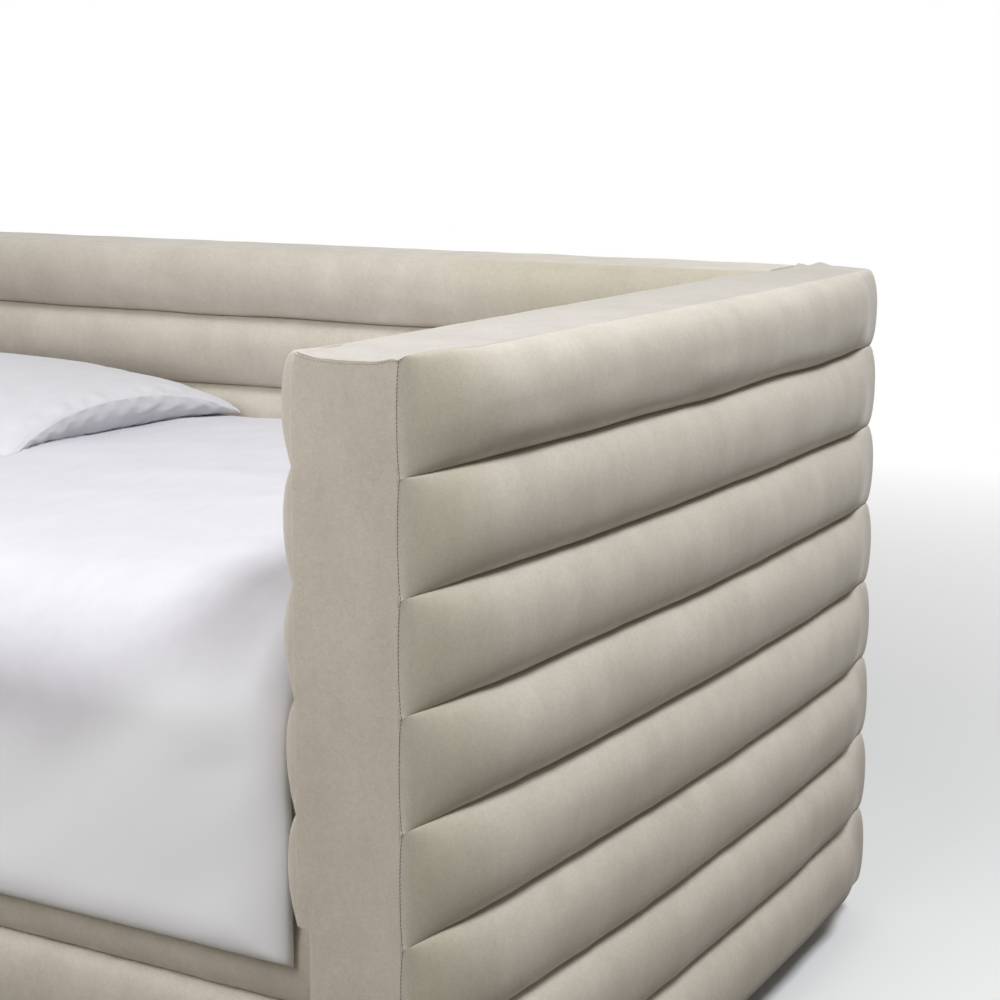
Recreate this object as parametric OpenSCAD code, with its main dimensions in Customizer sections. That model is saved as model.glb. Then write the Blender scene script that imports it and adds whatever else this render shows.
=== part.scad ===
// An upholstered daybed. Two arms with stitched horizontal channels stand at the ends,
// a channelled back stands between them, and a channelled rail closes the front.
// Slats on cleats and a centre beam carry the mattress, duvet and pillow.
// The origin is on the floor in the middle of the footprint, +X runs along the length
// to the right arm, +Y to the back and +Z up.

/* [Bedding] */
// Length of the mattress
mattress_l = 1905; // [1750:1:2000]
// Width of the mattress, front to back
mattress_w = 965; // [850:1:1050]
// Thickness of the mattress
mattress_h = 230; // [180:1:260]
// Corner radius of the mattress in plan
mattress_r = 40; // [20:1:80]
// Thickness of the duvet on top of the mattress
duvet_t = 30; // [15:1:50]
// Thickness of the duvet where it hangs down the front
drop_t = 22; // [12:1:40]
// How far the duvet hangs below the mattress's top
drop_h = 300; // [150:1:340]
// Length of the pillow
pillow_l = 700; // [500:1:800]
// Width of the pillow, front to back
pillow_w = 500; // [380:1:600]
// Thickness of the pillow at its middle
pillow_h = 110; // [80:1:170]
// Thickness of the pillow at the middle of its edges
pillow_edge = 16; // [6:1:40]
// How far the pillow lies to the left of the bed's middle
pillow_left = 165; // [0:1:500]
// Gap between the pillow and the mattress's rear edge
pillow_inset = 12; // [5:1:60]

/* [Upholstery] */
// Height of one stitched channel
channel_h = 104; // [90:1:115]
// Height of the top channel, up to the edge of the top panel
top_channel_h = 100; // [80:1:115]
// Number of channels on an outer face
channel_count = 8; // [7:1:9]
// Number of those channels that also show on the inside, above the rail
inner_count = 5; // [4:1:6]
// How far a channel stands out between its seams
bulge = 24; // [12:1:32]
// Foam and cover behind the channels' seams
pad_t = 10; // [6:1:16]
// Foam and cover on top of the arms and the back
top_pad_t = 20; // [10:1:30]
// Foam and cover on an arm's front end
front_pad_t = 12; // [8:1:20]
// Padded strip along the top of the front rail
strip_t = 11; // [6:1:20]

/* [Frames] */
// Thickness of the timber frames in the arms and the back
frame_t = 78; // [60:1:100]
// Thickness of the boards on the frames
board_t = 5; // [3:1:9]
// Width of a timber post
post_w = 60; // [45:1:80]
// Height of a timber rail between two posts
timber_h = 60; // [50:1:80]
// Number of posts in the back
back_posts = 5; // [3:1:6]
// Thickness of the front rail's board
rail_t = 25; // [18:1:35]

/* [Base] */
// Height of the feet
foot_h = 45; // [30:1:80]
// Radius of a foot at its top
foot_r = 30; // [22:1:38]
// Radius of a foot at the floor
foot_base_r = 25; // [18:1:36]
// Distance from an arm's end to a foot's middle
foot_inset = 80; // [50:1:140]
// Number of slats
slat_count = 12; // [9:1:14]
// Width of a slat
slat_w = 70; // [50:1:90]
// Thickness of a slat
slat_t = 18; // [14:1:24]
// Width and height of the cleats that carry the slats
cleat = 35; // [25:1:45]
// Width of the centre beam and its legs
beam_w = 45; // [36:1:60]
// Height of the centre beam
beam_h = 60; // [55:1:80]
// Distance of a centre leg from the bed's middle
leg_x = 450; // [250:1:600]
// Width of a webbing strap under the slats
strap_w = 25; // [15:1:40]
// Thickness of a webbing strap
strap_t = 1.5; // [1:0.1:3]
// Thickness of the cloth that closes the frames below
dust_cover_t = 1; // [0.6:0.1:2]

/* [Hardware] */
// Radius of a levelling foot's pad
level_r = 20; // [15:1:22]
// Thickness of a levelling foot's pad
level_t = 8; // [5:1:12]
// Radius of a levelling foot's stem
stem_r = 5; // [4:0.5:8]
// Length of a levelling foot's stem
stem_l = 45; // [30:1:70]
// Length of a corner bracket's arm
bracket_l = 50; // [40:1:70]
// Height of a corner bracket
bracket_h = 40; // [30:1:50]
// Thickness of a corner bracket
bracket_t = 3; // [2:0.5:4]
// Radius of a wood screw's shank
screw_r = 2.5; // [2:0.1:3.5]
// Depth of a wood screw in the timber
screw_l = 18; // [12:1:19]
// Radius of a wood screw's head
screw_head_r = 5; // [4:0.5:7]
// Thickness of a wood screw's head
screw_head_t = 3; // [2:0.5:4]
// Radius of a frame bolt's shank
bolt_r = 4; // [3:0.5:5]
// Depth of a frame bolt in the back's end post
bolt_l = 40; // [30:1:44]
// Radius of a frame bolt's head
bolt_head_r = 9; // [7:0.5:12]
// Thickness of a frame bolt's head
bolt_head_t = 6; // [4:0.5:8]
// Radius of the threaded sleeve that takes a frame bolt
sleeve_r = 7; // [6:0.5:9]

/* [Clearances] */
// Gap between the mattress and the channels of each arm
side_gap = 5; // [2:1:15]
// Gap between the mattress and the channels of the back
rear_gap = 3; // [2:1:15]
// Gap between the mattress and the rail's strip below it
strip_gap = 3; // [1:1:10]
// Distance of the duvet behind the arms' front ends
duvet_setback = 12; // [0:1:40]
// Gap between soft pieces that lie on each other, and over a levelling foot's pad
cloth_gap = 0.3; // [0.2:0.1:1]
// Gap round a stem, bolt or screw in its hole
hole_gap = 0.1; // [0.05:0.05:0.3]
// Room past the end of a stem, or over a bolt's head
hole_end = 1; // [0.5:0.5:3]
// Distance of the dust covers from the feet
cover_gap = 20; // [5:1:60]

/* [Hidden] */
slat_nodes = [for (i = [1 : slat_count]) str("slat_", i < 10 ? "0" : "", i)];

$fn = 96;

// Heights
lower_count = channel_count - inner_count;
top_z = foot_h + (channel_count - 1) * channel_h + top_channel_h;
inner_z = foot_h + lower_count * channel_h;
board_top_z = top_z - top_pad_t;
deck_z = inner_z + strip_t + strip_gap;
slat_z = deck_z - slat_t;
mattress_top_z = deck_z + mattress_h;
duvet_z = mattress_top_z + cloth_gap;
duvet_top_z = duvet_z + duvet_t;
pillow_z = duvet_top_z + cloth_gap;

// Along the length: the arms stand outside the mattress
arm_t = 2 * (pad_t + board_t) + frame_t;
in_x = mattress_l / 2 + side_gap + bulge;
out_x = in_x + arm_t;
bed_x = in_x + pad_t;
skin_x = out_x - pad_t;
frame_x = bed_x + board_t;
strip_x = in_x - bulge - cloth_gap;

// Front to back: the duvet hangs in front of the mattress and the back stands behind it
arm_d = duvet_setback + drop_t + cloth_gap + mattress_w + rear_gap + bulge + arm_t;
front_y = -(arm_d + bulge) / 2;
rear_y = front_y + arm_d;
duvet_y = front_y + duvet_setback;
mattress_y = duvet_y + drop_t + cloth_gap;
mattress_rear_y = mattress_y + mattress_w;
back_y = mattress_rear_y + rear_gap + bulge;
back_frame_y = back_y + pad_t + board_t;
inner_panel_rear_y = back_y - bulge - cloth_gap;
rail_y = mattress_y + bulge;
rail_rear_y = rail_y + pad_t + rail_t;
frame_front_y = front_y + front_pad_t;
frame_rear_y = rear_y - pad_t;
base_rear_y = back_y + pad_t;
slat_rear_y = inner_panel_rear_y;
base_mid_y = (rail_rear_y + slat_rear_y) / 2;

// Levels of the three rails in each timber frame
timber_levels = [foot_h, slat_z - timber_h, board_top_z - timber_h];

// Fasteners
bolt_grip = arm_t - 2 * pad_t - board_t - bolt_head_t - hole_end;
bolt_y = back_frame_y + frame_t * 0.6;
bolt_levels = [(timber_levels[0] + timber_levels[1] + timber_h) / 2,
               (timber_levels[1] + timber_levels[2] + timber_h) / 2];
bracket_levels = [foot_h + timber_h / 2, slat_z - timber_h / 2];
bracket_screw = 0.7 * bracket_l;

upholstery = [0.73, 0.70, 0.65];
timber = [0.78, 0.65, 0.46];
ply = [0.70, 0.58, 0.42];
linen = [0.90, 0.90, 0.90];
dark = [0.12, 0.12, 0.12];
steel = [0.66, 0.67, 0.69];

// A box given by its lowest and highest corners
module block(low, high) {
    translate(low) cube(high - low);
}

module left() {
    mirror([1, 0, 0]) children();
}

// Outline of a run of channels: x is how far it stands out, y is up
module channel_outline(count, last_h) {
    total = (count - 1) * channel_h + last_h;
    translate([-pad_t, 0]) square([pad_t, total]);
    for (i = [0 : count - 1]) {
        h = i < count - 1 ? channel_h : last_h;
        r = (h * h / 4 + bulge * bulge) / (2 * bulge);
        intersection() {
            translate([bulge - r, i * channel_h + h / 2]) circle(r);
            translate([-pad_t / 2, i * channel_h]) square([pad_t / 2 + bulge, h]);
        }
    }
}

// Channels along +X that face +Y, with their seams on y = 0
module channel_panel(count, last_h, length) {
    rotate([90, 0, 90]) linear_extrude(length) channel_outline(count, last_h);
}

// An L-shaped bracket in the corner between the planes x = 0 and y = 0, on their +X and +Y sides
module corner_bracket() {
    linear_extrude(bracket_h, center = true) polygon([
        [0, 0], [bracket_l, 0], [bracket_l, bracket_t],
        [bracket_t, bracket_t], [bracket_t, bracket_l], [0, bracket_l]]);
}

// One wood screw that goes down into the plane z = 0 through a bracket, or its hole
module wood_screw(gap) {
    translate([0, 0, -screw_l]) cylinder(h = screw_l + bracket_t, r = screw_r + gap);
    translate([0, 0, bracket_t]) cylinder(h = screw_head_t, r = screw_head_r);
}

// Puts its child in each corner that has a bracket, at the right end of the bed
module right_bracket_corners() {
    translate([bed_x, rail_rear_y, bracket_levels[0]]) mirror([1, 0, 0]) children();
    translate([bed_x, base_mid_y + beam_w / 2, bracket_levels[1]]) mirror([1, 0, 0]) children();
    translate([bed_x, base_mid_y - beam_w / 2, bracket_levels[1]]) rotate(180) children();
}

module bracket_corners() {
    right_bracket_corners() children();
    left() right_bracket_corners() children();
}

// The two screws of every bracket, or their holes
module screws(gap) {
    bracket_corners() {
        translate([bracket_screw, 0, 0]) rotate([-90, 0, 0]) wood_screw(gap);
        translate([0, bracket_screw, 0]) rotate([0, 90, 0]) wood_screw(gap);
    }
}

// The bolts that pull the back against the right arm, or their holes
module right_bolts(gap) {
    for (z = bolt_levels) translate([bed_x - bolt_l, bolt_y, z]) rotate([0, 90, 0]) {
        cylinder(h = bolt_l + bolt_grip, r = bolt_r + gap);
        translate([0, 0, bolt_l + bolt_grip])
            cylinder(h = bolt_head_t + (gap > 0 ? hole_end : 0), r = bolt_head_r + gap);
    }
}

module right_sleeve_bores(r) {
    for (z = bolt_levels) translate([bed_x - bolt_l, bolt_y, z]) rotate([0, 90, 0])
        cylinder(h = bolt_l, r = r);
}

// Arms, drawn as the right arm. The middle post stands behind the centre beam's end.
module arm_posts() {
    color(timber) difference() {
        for (y = [frame_front_y, base_mid_y - post_w / 2, frame_rear_y - post_w])
            block([frame_x, y, foot_h], [frame_x + frame_t, y + post_w, board_top_z]);
        right_bolts(hole_gap);
    }
}

module arm_rails() {
    color(timber) difference() {
        for (z = timber_levels) {
            block([frame_x, frame_front_y + post_w, z],
                  [frame_x + frame_t, base_mid_y - post_w / 2, z + timber_h]);
            block([frame_x, base_mid_y + post_w / 2, z],
                  [frame_x + frame_t, frame_rear_y - post_w, z + timber_h]);
        }
        screws(hole_gap);
    }
}

module arm_outer_board() {
    color(ply) block([skin_x - board_t, frame_front_y, foot_h], [skin_x, frame_rear_y, board_top_z]);
}

module arm_inner_board() {
    color(ply) difference() {
        block([bed_x, frame_front_y, foot_h], [bed_x + board_t, frame_rear_y, board_top_z]);
        screws(hole_gap);
        right_bolts(hole_gap);
    }
}

module arm_outer_channels() {
    color(upholstery) translate([out_x, rear_y, foot_h]) rotate(-90)
        channel_panel(channel_count, top_channel_h, arm_d);
}

module arm_inner_channels() {
    color(upholstery) translate([in_x, front_y, inner_z]) rotate(90)
        channel_panel(inner_count, top_channel_h, inner_panel_rear_y - front_y);
}

module arm_rear_channels() {
    color(upholstery) translate([bed_x, rear_y, foot_h])
        channel_panel(channel_count, top_channel_h, skin_x - bed_x);
}

module arm_top_panel() {
    color(upholstery) block([bed_x, front_y, board_top_z], [skin_x, frame_rear_y, top_z]);
}

module arm_front_panel() {
    color(upholstery) block([bed_x, front_y, foot_h], [skin_x, frame_front_y, board_top_z]);
}

// Back, between the arms' inner boards
module back_frame_posts() {
    step = (2 * bed_x - post_w) / (back_posts - 1);
    color(timber) difference() {
        for (i = [0 : back_posts - 1]) translate([-bed_x + i * step, 0, 0])
            block([0, back_frame_y, foot_h], [post_w, back_frame_y + frame_t, board_top_z]);
        right_sleeve_bores(sleeve_r + hole_gap);
        left() right_sleeve_bores(sleeve_r + hole_gap);
    }
}

module back_frame_rails() {
    step = (2 * bed_x - post_w) / (back_posts - 1);
    color(timber) for (i = [0 : back_posts - 2]) for (z = timber_levels)
        translate([-bed_x + post_w + i * step, 0, z])
            block([0, back_frame_y, 0], [step - post_w, back_frame_y + frame_t, timber_h]);
}

module back_outer_board() {
    color(ply) block([-bed_x, frame_rear_y - board_t, foot_h], [bed_x, frame_rear_y, board_top_z]);
}

module back_inner_board() {
    color(ply) block([-bed_x, back_frame_y - board_t, foot_h], [bed_x, back_frame_y, board_top_z]);
}

module back_outer_channels() {
    color(upholstery) translate([-bed_x, rear_y, foot_h])
        channel_panel(channel_count, top_channel_h, 2 * bed_x);
}

module back_inner_channels() {
    color(upholstery) translate([bed_x, back_y, inner_z]) rotate(180)
        channel_panel(inner_count, top_channel_h, 2 * bed_x);
}

module back_top_panel() {
    color(upholstery) block([-bed_x, back_y + pad_t, board_top_z], [bed_x, frame_rear_y, top_z]);
}

// Front rail, whose strip ends at the arms' inner channels
module front_rail_board() {
    color(timber) difference() {
        block([-bed_x, rail_y + pad_t, foot_h], [bed_x, rail_rear_y, inner_z]);
        screws(hole_gap);
    }
}

module front_rail_channels() {
    color(upholstery) translate([bed_x, rail_y, foot_h]) rotate(180)
        channel_panel(lower_count, channel_h, 2 * bed_x);
}

module front_rail_strip() {
    color(upholstery) block([-strip_x, rail_y, inner_z], [strip_x, rail_rear_y, inner_z + strip_t]);
}

// Base
module front_cleat() {
    color(timber) block([-bed_x, rail_rear_y, slat_z - cleat], [bed_x, rail_rear_y + cleat, slat_z]);
}

// The rear cleat reaches out under the back's channels, to where the slats end
module rear_cleat() {
    color(timber) block([-bed_x, slat_rear_y - cleat, slat_z - cleat], [bed_x, base_rear_y, slat_z]);
}

module centre_beam() {
    color(timber) difference() {
        block([-bed_x, base_mid_y - beam_w / 2, slat_z - beam_h],
              [bed_x, base_mid_y + beam_w / 2, slat_z]);
        screws(hole_gap);
    }
}

module slat(i) {
    step = 2 * bed_x / slat_count;
    color(timber) translate([-bed_x + (i + 0.5) * step, 0, 0])
        block([-slat_w / 2, rail_rear_y, slat_z], [slat_w / 2, slat_rear_y, deck_z]);
}

module slat_straps() {
    end_x = bed_x * (1 - 1 / slat_count) + slat_w / 2;
    spread = (slat_rear_y - rail_rear_y) / 4;
    color(dark) for (y = [base_mid_y - spread, base_mid_y + spread])
        block([-end_x, y - strap_w / 2, slat_z - strap_t], [end_x, y + strap_w / 2, slat_z]);
}

module centre_leg() {
    color(timber) difference() {
        block([leg_x - beam_w / 2, base_mid_y - beam_w / 2, level_t + cloth_gap],
              [leg_x + beam_w / 2, base_mid_y + beam_w / 2, slat_z - beam_h]);
        translate([leg_x, base_mid_y, 0]) cylinder(h = level_t + stem_l + hole_end, r = stem_r + hole_gap);
    }
}

module levelling_foot() {
    color(dark) translate([leg_x, base_mid_y, 0]) {
        cylinder(h = level_t, r = level_r);
        cylinder(h = level_t + stem_l, r = stem_r);
    }
}

module foot(y) {
    color(dark) translate([out_x - arm_t / 2, y, 0]) cylinder(h = foot_h, r1 = foot_base_r, r2 = foot_r);
}

module dust_covers() {
    margin = foot_inset + foot_r + cover_gap;
    color(dark) {
        for (side = [0, 1]) mirror([side, 0, 0])
            block([frame_x, front_y + margin, foot_h - dust_cover_t],
                  [frame_x + frame_t, rear_y - margin, foot_h]);
        block([-bed_x, back_frame_y, foot_h - dust_cover_t], [bed_x, back_frame_y + frame_t, foot_h]);
    }
}

// Hardware
module corner_brackets() {
    color(steel) difference() {
        bracket_corners() corner_bracket();
        screws(hole_gap);
    }
}

module bracket_screws() {
    color(steel) screws(0);
}

module frame_bolts() {
    color(steel) {
        right_bolts(0);
        left() right_bolts(0);
    }
}

module bolt_sleeves() {
    color(steel) difference() {
        union() {
            right_sleeve_bores(sleeve_r);
            left() right_sleeve_bores(sleeve_r);
        }
        right_sleeve_bores(bolt_r + hole_gap);
        left() right_sleeve_bores(bolt_r + hole_gap);
    }
}

// Bedding
module rounded_rectangle(size, r) {
    translate([r, 0]) square([size.x - 2 * r, size.y]);
    translate([0, r]) square([size.x, size.y - 2 * r]);
    for (x = [r, size.x - r]) for (y = [r, size.y - r]) translate([x, y]) circle(r);
}

module mattress() {
    color(linen) translate([-mattress_l / 2, mattress_y, deck_z])
        linear_extrude(mattress_h) rounded_rectangle([mattress_l, mattress_w], mattress_r);
}

module duvet() {
    bend = drop_t;
    color(linen) translate([-mattress_l / 2, duvet_y, 0]) rotate([90, 0, 90]) linear_extrude(mattress_l) {
        translate([bend, duvet_z])
            square([mattress_rear_y - duvet_y - bend, duvet_t]);
        translate([0, mattress_top_z - drop_h]) square([drop_t, drop_h + duvet_t - bend]);
        translate([bend, duvet_top_z - bend]) intersection() {
            circle(bend);
            translate([-bend, 0]) square([2 * bend, bend]);
        }
    }
}

// The pillow's top is crowned both ways and its underside lies flat
module pillow() {
    // The block cuts the two curved faces a little below where they would touch at one point.
    peak = pillow_h + 4;
    rise = peak - pillow_edge;
    along_r = (pillow_l * pillow_l / 4 + rise * rise) / (2 * rise);
    across_r = (pillow_w * pillow_w / 4 + rise * rise) / (2 * rise);
    color(linen) translate([-pillow_left, mattress_rear_y - pillow_inset - pillow_w / 2, pillow_z])
        intersection() {
            translate([0, 0, peak - along_r]) rotate([90, 0, 0])
                cylinder(h = pillow_w + 2, r = along_r, center = true);
            translate([0, 0, peak - across_r]) rotate([0, 90, 0])
                cylinder(h = pillow_l + 2, r = across_r, center = true);
            block([-pillow_l / 2, -pillow_w / 2, 0], [pillow_l / 2, pillow_w / 2, pillow_h]);
        }
}

arm_posts();  // right_arm_posts
arm_rails();  // right_arm_rails
arm_outer_board();  // right_arm_outer_board
arm_inner_board();  // right_arm_inner_board
arm_outer_channels();  // right_arm_outer_channels
arm_inner_channels();  // right_arm_inner_channels
arm_top_panel();  // right_arm_top_panel
arm_front_panel();  // right_arm_front_panel
arm_rear_channels();  // right_arm_rear_channels
left() arm_posts();  // left_arm_posts
left() arm_rails();  // left_arm_rails
left() arm_outer_board();  // left_arm_outer_board
left() arm_inner_board();  // left_arm_inner_board
left() arm_outer_channels();  // left_arm_outer_channels
left() arm_inner_channels();  // left_arm_inner_channels
left() arm_top_panel();  // left_arm_top_panel
left() arm_front_panel();  // left_arm_front_panel
left() arm_rear_channels();  // left_arm_rear_channels
back_frame_posts();
back_frame_rails();
back_outer_board();
back_inner_board();
back_outer_channels();
back_inner_channels();
back_top_panel();
front_rail_board();
front_rail_channels();
front_rail_strip();
front_cleat();
rear_cleat();
centre_beam();
slat_straps();
centre_leg();  // right_centre_leg
left() centre_leg();  // left_centre_leg
levelling_foot();  // right_levelling_foot
left() levelling_foot();  // left_levelling_foot
foot(front_y + foot_inset);  // front_right_foot
foot(rear_y - foot_inset);  // rear_right_foot
left() foot(front_y + foot_inset);  // front_left_foot
left() foot(rear_y - foot_inset);  // rear_left_foot
corner_brackets();
bracket_screws();
frame_bolts();
bolt_sleeves();
dust_covers();
mattress();
duvet();
pillow();
for (i = [0 : slat_count - 1]) slat(i);
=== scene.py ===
# %% [markdown]
# # Dressing a channel-quilted daybed
# The CAD model gives this daybed its timber frame, boards, slats and plain soft solids, all in place.
# This lesson puts the looks on it: quilted arms and back, a fitted front rail, a mattress, a duvet
# and a pillow. Every size is taken from the CAD boxes, so a change in the CAD moves the looks too.

# %% Load the frame and keep its size
import math

import bmesh
import bpy
import numpy as np
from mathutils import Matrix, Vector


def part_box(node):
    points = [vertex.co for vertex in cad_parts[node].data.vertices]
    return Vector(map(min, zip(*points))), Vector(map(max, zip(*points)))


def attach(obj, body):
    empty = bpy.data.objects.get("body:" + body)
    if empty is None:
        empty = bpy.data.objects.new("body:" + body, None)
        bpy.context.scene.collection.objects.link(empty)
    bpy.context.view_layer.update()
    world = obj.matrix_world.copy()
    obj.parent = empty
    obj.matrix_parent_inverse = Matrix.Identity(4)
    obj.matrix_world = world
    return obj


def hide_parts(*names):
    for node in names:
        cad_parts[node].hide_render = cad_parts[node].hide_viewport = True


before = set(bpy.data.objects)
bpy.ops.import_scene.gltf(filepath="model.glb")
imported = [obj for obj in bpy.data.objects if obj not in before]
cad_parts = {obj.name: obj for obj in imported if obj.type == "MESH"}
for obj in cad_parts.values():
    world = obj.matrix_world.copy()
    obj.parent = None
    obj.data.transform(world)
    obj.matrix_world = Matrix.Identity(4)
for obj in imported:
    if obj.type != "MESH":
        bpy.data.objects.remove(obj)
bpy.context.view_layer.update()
MM = 0.001
TAU = 2 * math.pi

# %% [markdown]
# ## Camera, floor and light
# A furniture studio's camera stands about a room's width away and looks through a long lens, so
# upright lines stay almost upright. It is lowered to a little above arm height, and the lens is
# shifted down, as on a view camera, rather than tilted steeply.

# %% Camera
CAMERA_PLACE = (2.0297, -2.0331, 1.0872)
CAMERA_TILT = 8.12
CAMERA_TURN = 30.08
camera_data = bpy.data.cameras.new("camera")
camera_data.lens = 75.2
camera_data.sensor_width = 36
camera_data.shift_y = -0.10
camera = bpy.data.objects.new("camera", camera_data)
camera.location = CAMERA_PLACE
camera.rotation_euler = (math.radians(90 - CAMERA_TILT), 0, math.radians(CAMERA_TURN))
bpy.context.collection.objects.link(camera)
bpy.context.scene.camera = camera
bpy.context.scene.view_settings.view_transform = "Standard"
print("camera at", CAMERA_PLACE)

# %% [markdown]
# ## Shader maths as expressions
# A material is a graph of nodes, and a long one is easier to read as sums. The Value class wraps an
# output socket: adding or multiplying two of them makes the Math node. Everything that isn't
# arithmetic comes from one method, add, which takes a node's type, its settings and its inputs.

# %% Value and Shop
class Value:
    """One output socket that can be used in ordinary arithmetic."""

    def __init__(self, shop, socket):
        self.shop = shop
        self.socket = socket

    def math(self, operation, *values):
        return self.shop.add("ShaderNodeMath", {"operation": operation}, dict(enumerate(values)))

    def __add__(self, other):
        return self.math("ADD", self, other)

    def __sub__(self, other):
        return self.math("SUBTRACT", self, other)

    def __rsub__(self, other):
        return self.math("SUBTRACT", other, self)

    def __mul__(self, other):
        return self.math("MULTIPLY", self, other)

    def __truediv__(self, other):
        return self.math("DIVIDE", self, other)

    def __rtruediv__(self, other):
        return self.math("DIVIDE", other, self)

    def clipped(self):
        return self.math("MINIMUM", self.math("MAXIMUM", self, 0.0), 1.0)

    __radd__ = __add__
    __rmul__ = __mul__


class Shop:
    """The nodes of one material, or of the world."""

    def __init__(self, name, library=bpy.data.materials):
        self.owner = library.new(name)
        self.owner.use_nodes = True
        self.tree = self.owner.node_tree
        self.tree.nodes.clear()
        self.places = self.add("ShaderNodeTexCoord", {}, {}, "Object")

    def add(self, kind, settings, inputs, output=0):
        """A node of this kind: its settings first, then its inputs, each a number, a colour or a Value."""
        node = self.tree.nodes.new(kind)
        for name, setting in settings.items():
            setattr(node, name, setting)
        for name, value in inputs.items():
            if isinstance(value, Value):
                self.tree.links.new(value.socket, node.inputs[name])
            elif isinstance(value, tuple) and len(node.inputs[name].default_value) == 4:
                node.inputs[name].default_value = (*value, 1)
            else:
                node.inputs[name].default_value = value
        return Value(self, node.outputs[output]) if node.outputs else None

    def noise(self, scale, detail=2.0, stretch=(1, 1, 1), roughness=0.5):
        """Noise around 0.5, whose features are about 1/scale metres across before it is stretched."""
        place = self.add("ShaderNodeVectorMath", {"operation": "MULTIPLY"}, {0: self.places, 1: stretch})
        inputs = {"Vector": place, "Scale": scale, "Detail": detail, "Roughness": roughness}
        return self.add("ShaderNodeTexNoise", {}, inputs)

    def mix(self, factor, first, second, blend="MIX"):
        settings = {"data_type": "RGBA", "blend_type": blend}
        return self.add("ShaderNodeMix", settings, {0: factor, 6: first, 7: second}, 2)

    def bump(self, height, distance, strength):
        inputs = {"Height": height, "Distance": distance, "Strength": strength}
        return self.add("ShaderNodeBump", {}, inputs)

    def finish(self, **inputs):
        """Ends the material in a Principled shader; input names have _ for a space."""
        named = {name.replace("_", " "): value for name, value in inputs.items()}
        surface = self.add("ShaderNodeBsdfPrincipled", {}, named)
        self.add("ShaderNodeOutputMaterial", {}, {"Surface": surface})
        return self.owner


def tint(red, green, blue):
    """A screen colour, 0 to 255, as the linear colour that a shader takes."""
    parts = [c / 255 for c in (red, green, blue)]
    return tuple(c / 12.92 if c <= 0.04045 else ((c + 0.055) / 1.055) ** 2.4 for c in parts)


print("shader helpers ready")

# %% [markdown]
# ## Floor, world and lamps
# The floor has to keep the daybed's shadow and yet melt into a white background. A mask by distance
# from the middle changes it from paper to plain white light, and only for the camera, so that no
# extra light falls on the fabric. The lamps stay at a level where a colour renders as it is written.

# %% Floor
FLOOR_SIZE = 60.0
FADE_START = 1.5
FADE_WIDTH = 2.5


def ray(shop, kind):
    """1 for rays of one kind: Camera, Glossy or Transmission."""
    return shop.add("ShaderNodeLightPath", {}, {}, f"Is {kind} Ray")


def white_room_rays(shop):
    """1 for the rays that see a white room: the camera's own, those off gloss and those through glass."""
    return (ray(shop, "Camera") + ray(shop, "Glossy") + ray(shop, "Transmission")).clipped()


floor_shop = Shop("studio_floor")
centre_distance = floor_shop.add(
    "ShaderNodeVectorMath", {"operation": "LENGTH"}, {0: floor_shop.places}, "Value"
)
away = ((centre_distance - FADE_START) / FADE_WIDTH).clipped()
paper_colour = floor_shop.mix(ray(floor_shop, "Camera"), (0.15, 0.135, 0.11), (0.88, 0.88, 0.88))
paper = floor_shop.add("ShaderNodeBsdfPrincipled", {}, {"Base Color": paper_colour, "Roughness": 0.9})
glow = floor_shop.add("ShaderNodeEmission", {}, {"Color": (1.0, 1.0, 1.0), "Strength": 1.0})
floor_surface = floor_shop.add(
    "ShaderNodeMixShader", {}, {0: away * white_room_rays(floor_shop), 1: paper, 2: glow}
)
floor_shop.add("ShaderNodeOutputMaterial", {}, {"Surface": floor_surface})

floor_mesh = bpy.data.meshes.new("floor")
half = FLOOR_SIZE / 2
floor_mesh.from_pydata(
    [(-half, -half, 0), (half, -half, 0), (half, half, 0), (-half, half, 0)], [], [(0, 1, 2, 3)]
)
floor_mesh.materials.append(floor_shop.owner)
floor = bpy.data.objects.new("floor", floor_mesh)
bpy.context.collection.objects.link(floor)

print("floor is", FLOOR_SIZE, "m wide")

# %% World
FILL = 0.20
FILL_ABOVE = 0.32
sky = Shop("studio", bpy.data.worlds)
bpy.context.scene.world = sky.owner
white_room = white_room_rays(sky)
direction = sky.add("ShaderNodeTexCoord", {}, {}, "Generated")
upward = sky.add("ShaderNodeSeparateXYZ", {}, {0: direction}, "Z")
dome = sky.add("ShaderNodeMapRange", {}, {"Value": upward, "To Min": FILL, "To Max": FILL_ABOVE})
air = sky.mix(white_room, (1.0, 0.975, 0.93), (1.0, 1.0, 1.0))
strength = sky.add("ShaderNodeMix", {}, {0: white_room, 2: dome, 3: 1.0})
background = sky.add("ShaderNodeBackground", {}, {"Color": air, "Strength": strength})
sky.add("ShaderNodeOutputWorld", {}, {"Surface": background})
print("world fill from", FILL, "at the horizon to", FILL_ABOVE, "overhead")

# %% Lamps
def lamp(name, place, target, size, power, colour=(1.0, 1.0, 1.0), spread=180):
    """A soft square lamp aimed at a point; spread is the angle in degrees that its light is kept within."""
    data = bpy.data.lights.new(name, "AREA")
    data.shape = "SQUARE"
    data.size = size
    data.energy = power
    data.color = colour
    data.spread = math.radians(spread)
    light = bpy.data.objects.new(name, data)
    light.location = place
    aim = np.array(target) - np.array(place)
    flat = math.hypot(aim[0], aim[1])
    light.rotation_euler = (math.atan2(flat, -aim[2]), 0, math.atan2(aim[1], aim[0]) - math.pi / 2)
    bpy.context.collection.objects.link(light)


lamp("key", (3.05, -0.45, 4.20), (1.0, 0.0, 0.6), 1.0, 150, (0.94, 0.97, 1.0))
lamp("front", (0.5, -2.5, 2.3), (0.8, 0.0, 0.5), 1.6, 38)
lamp("bed", (-1.0, -1.6, 1.6), (0.95, 0.0, 0.58), 0.9, 2.2, spread=54)
print("lamps ready")

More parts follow.
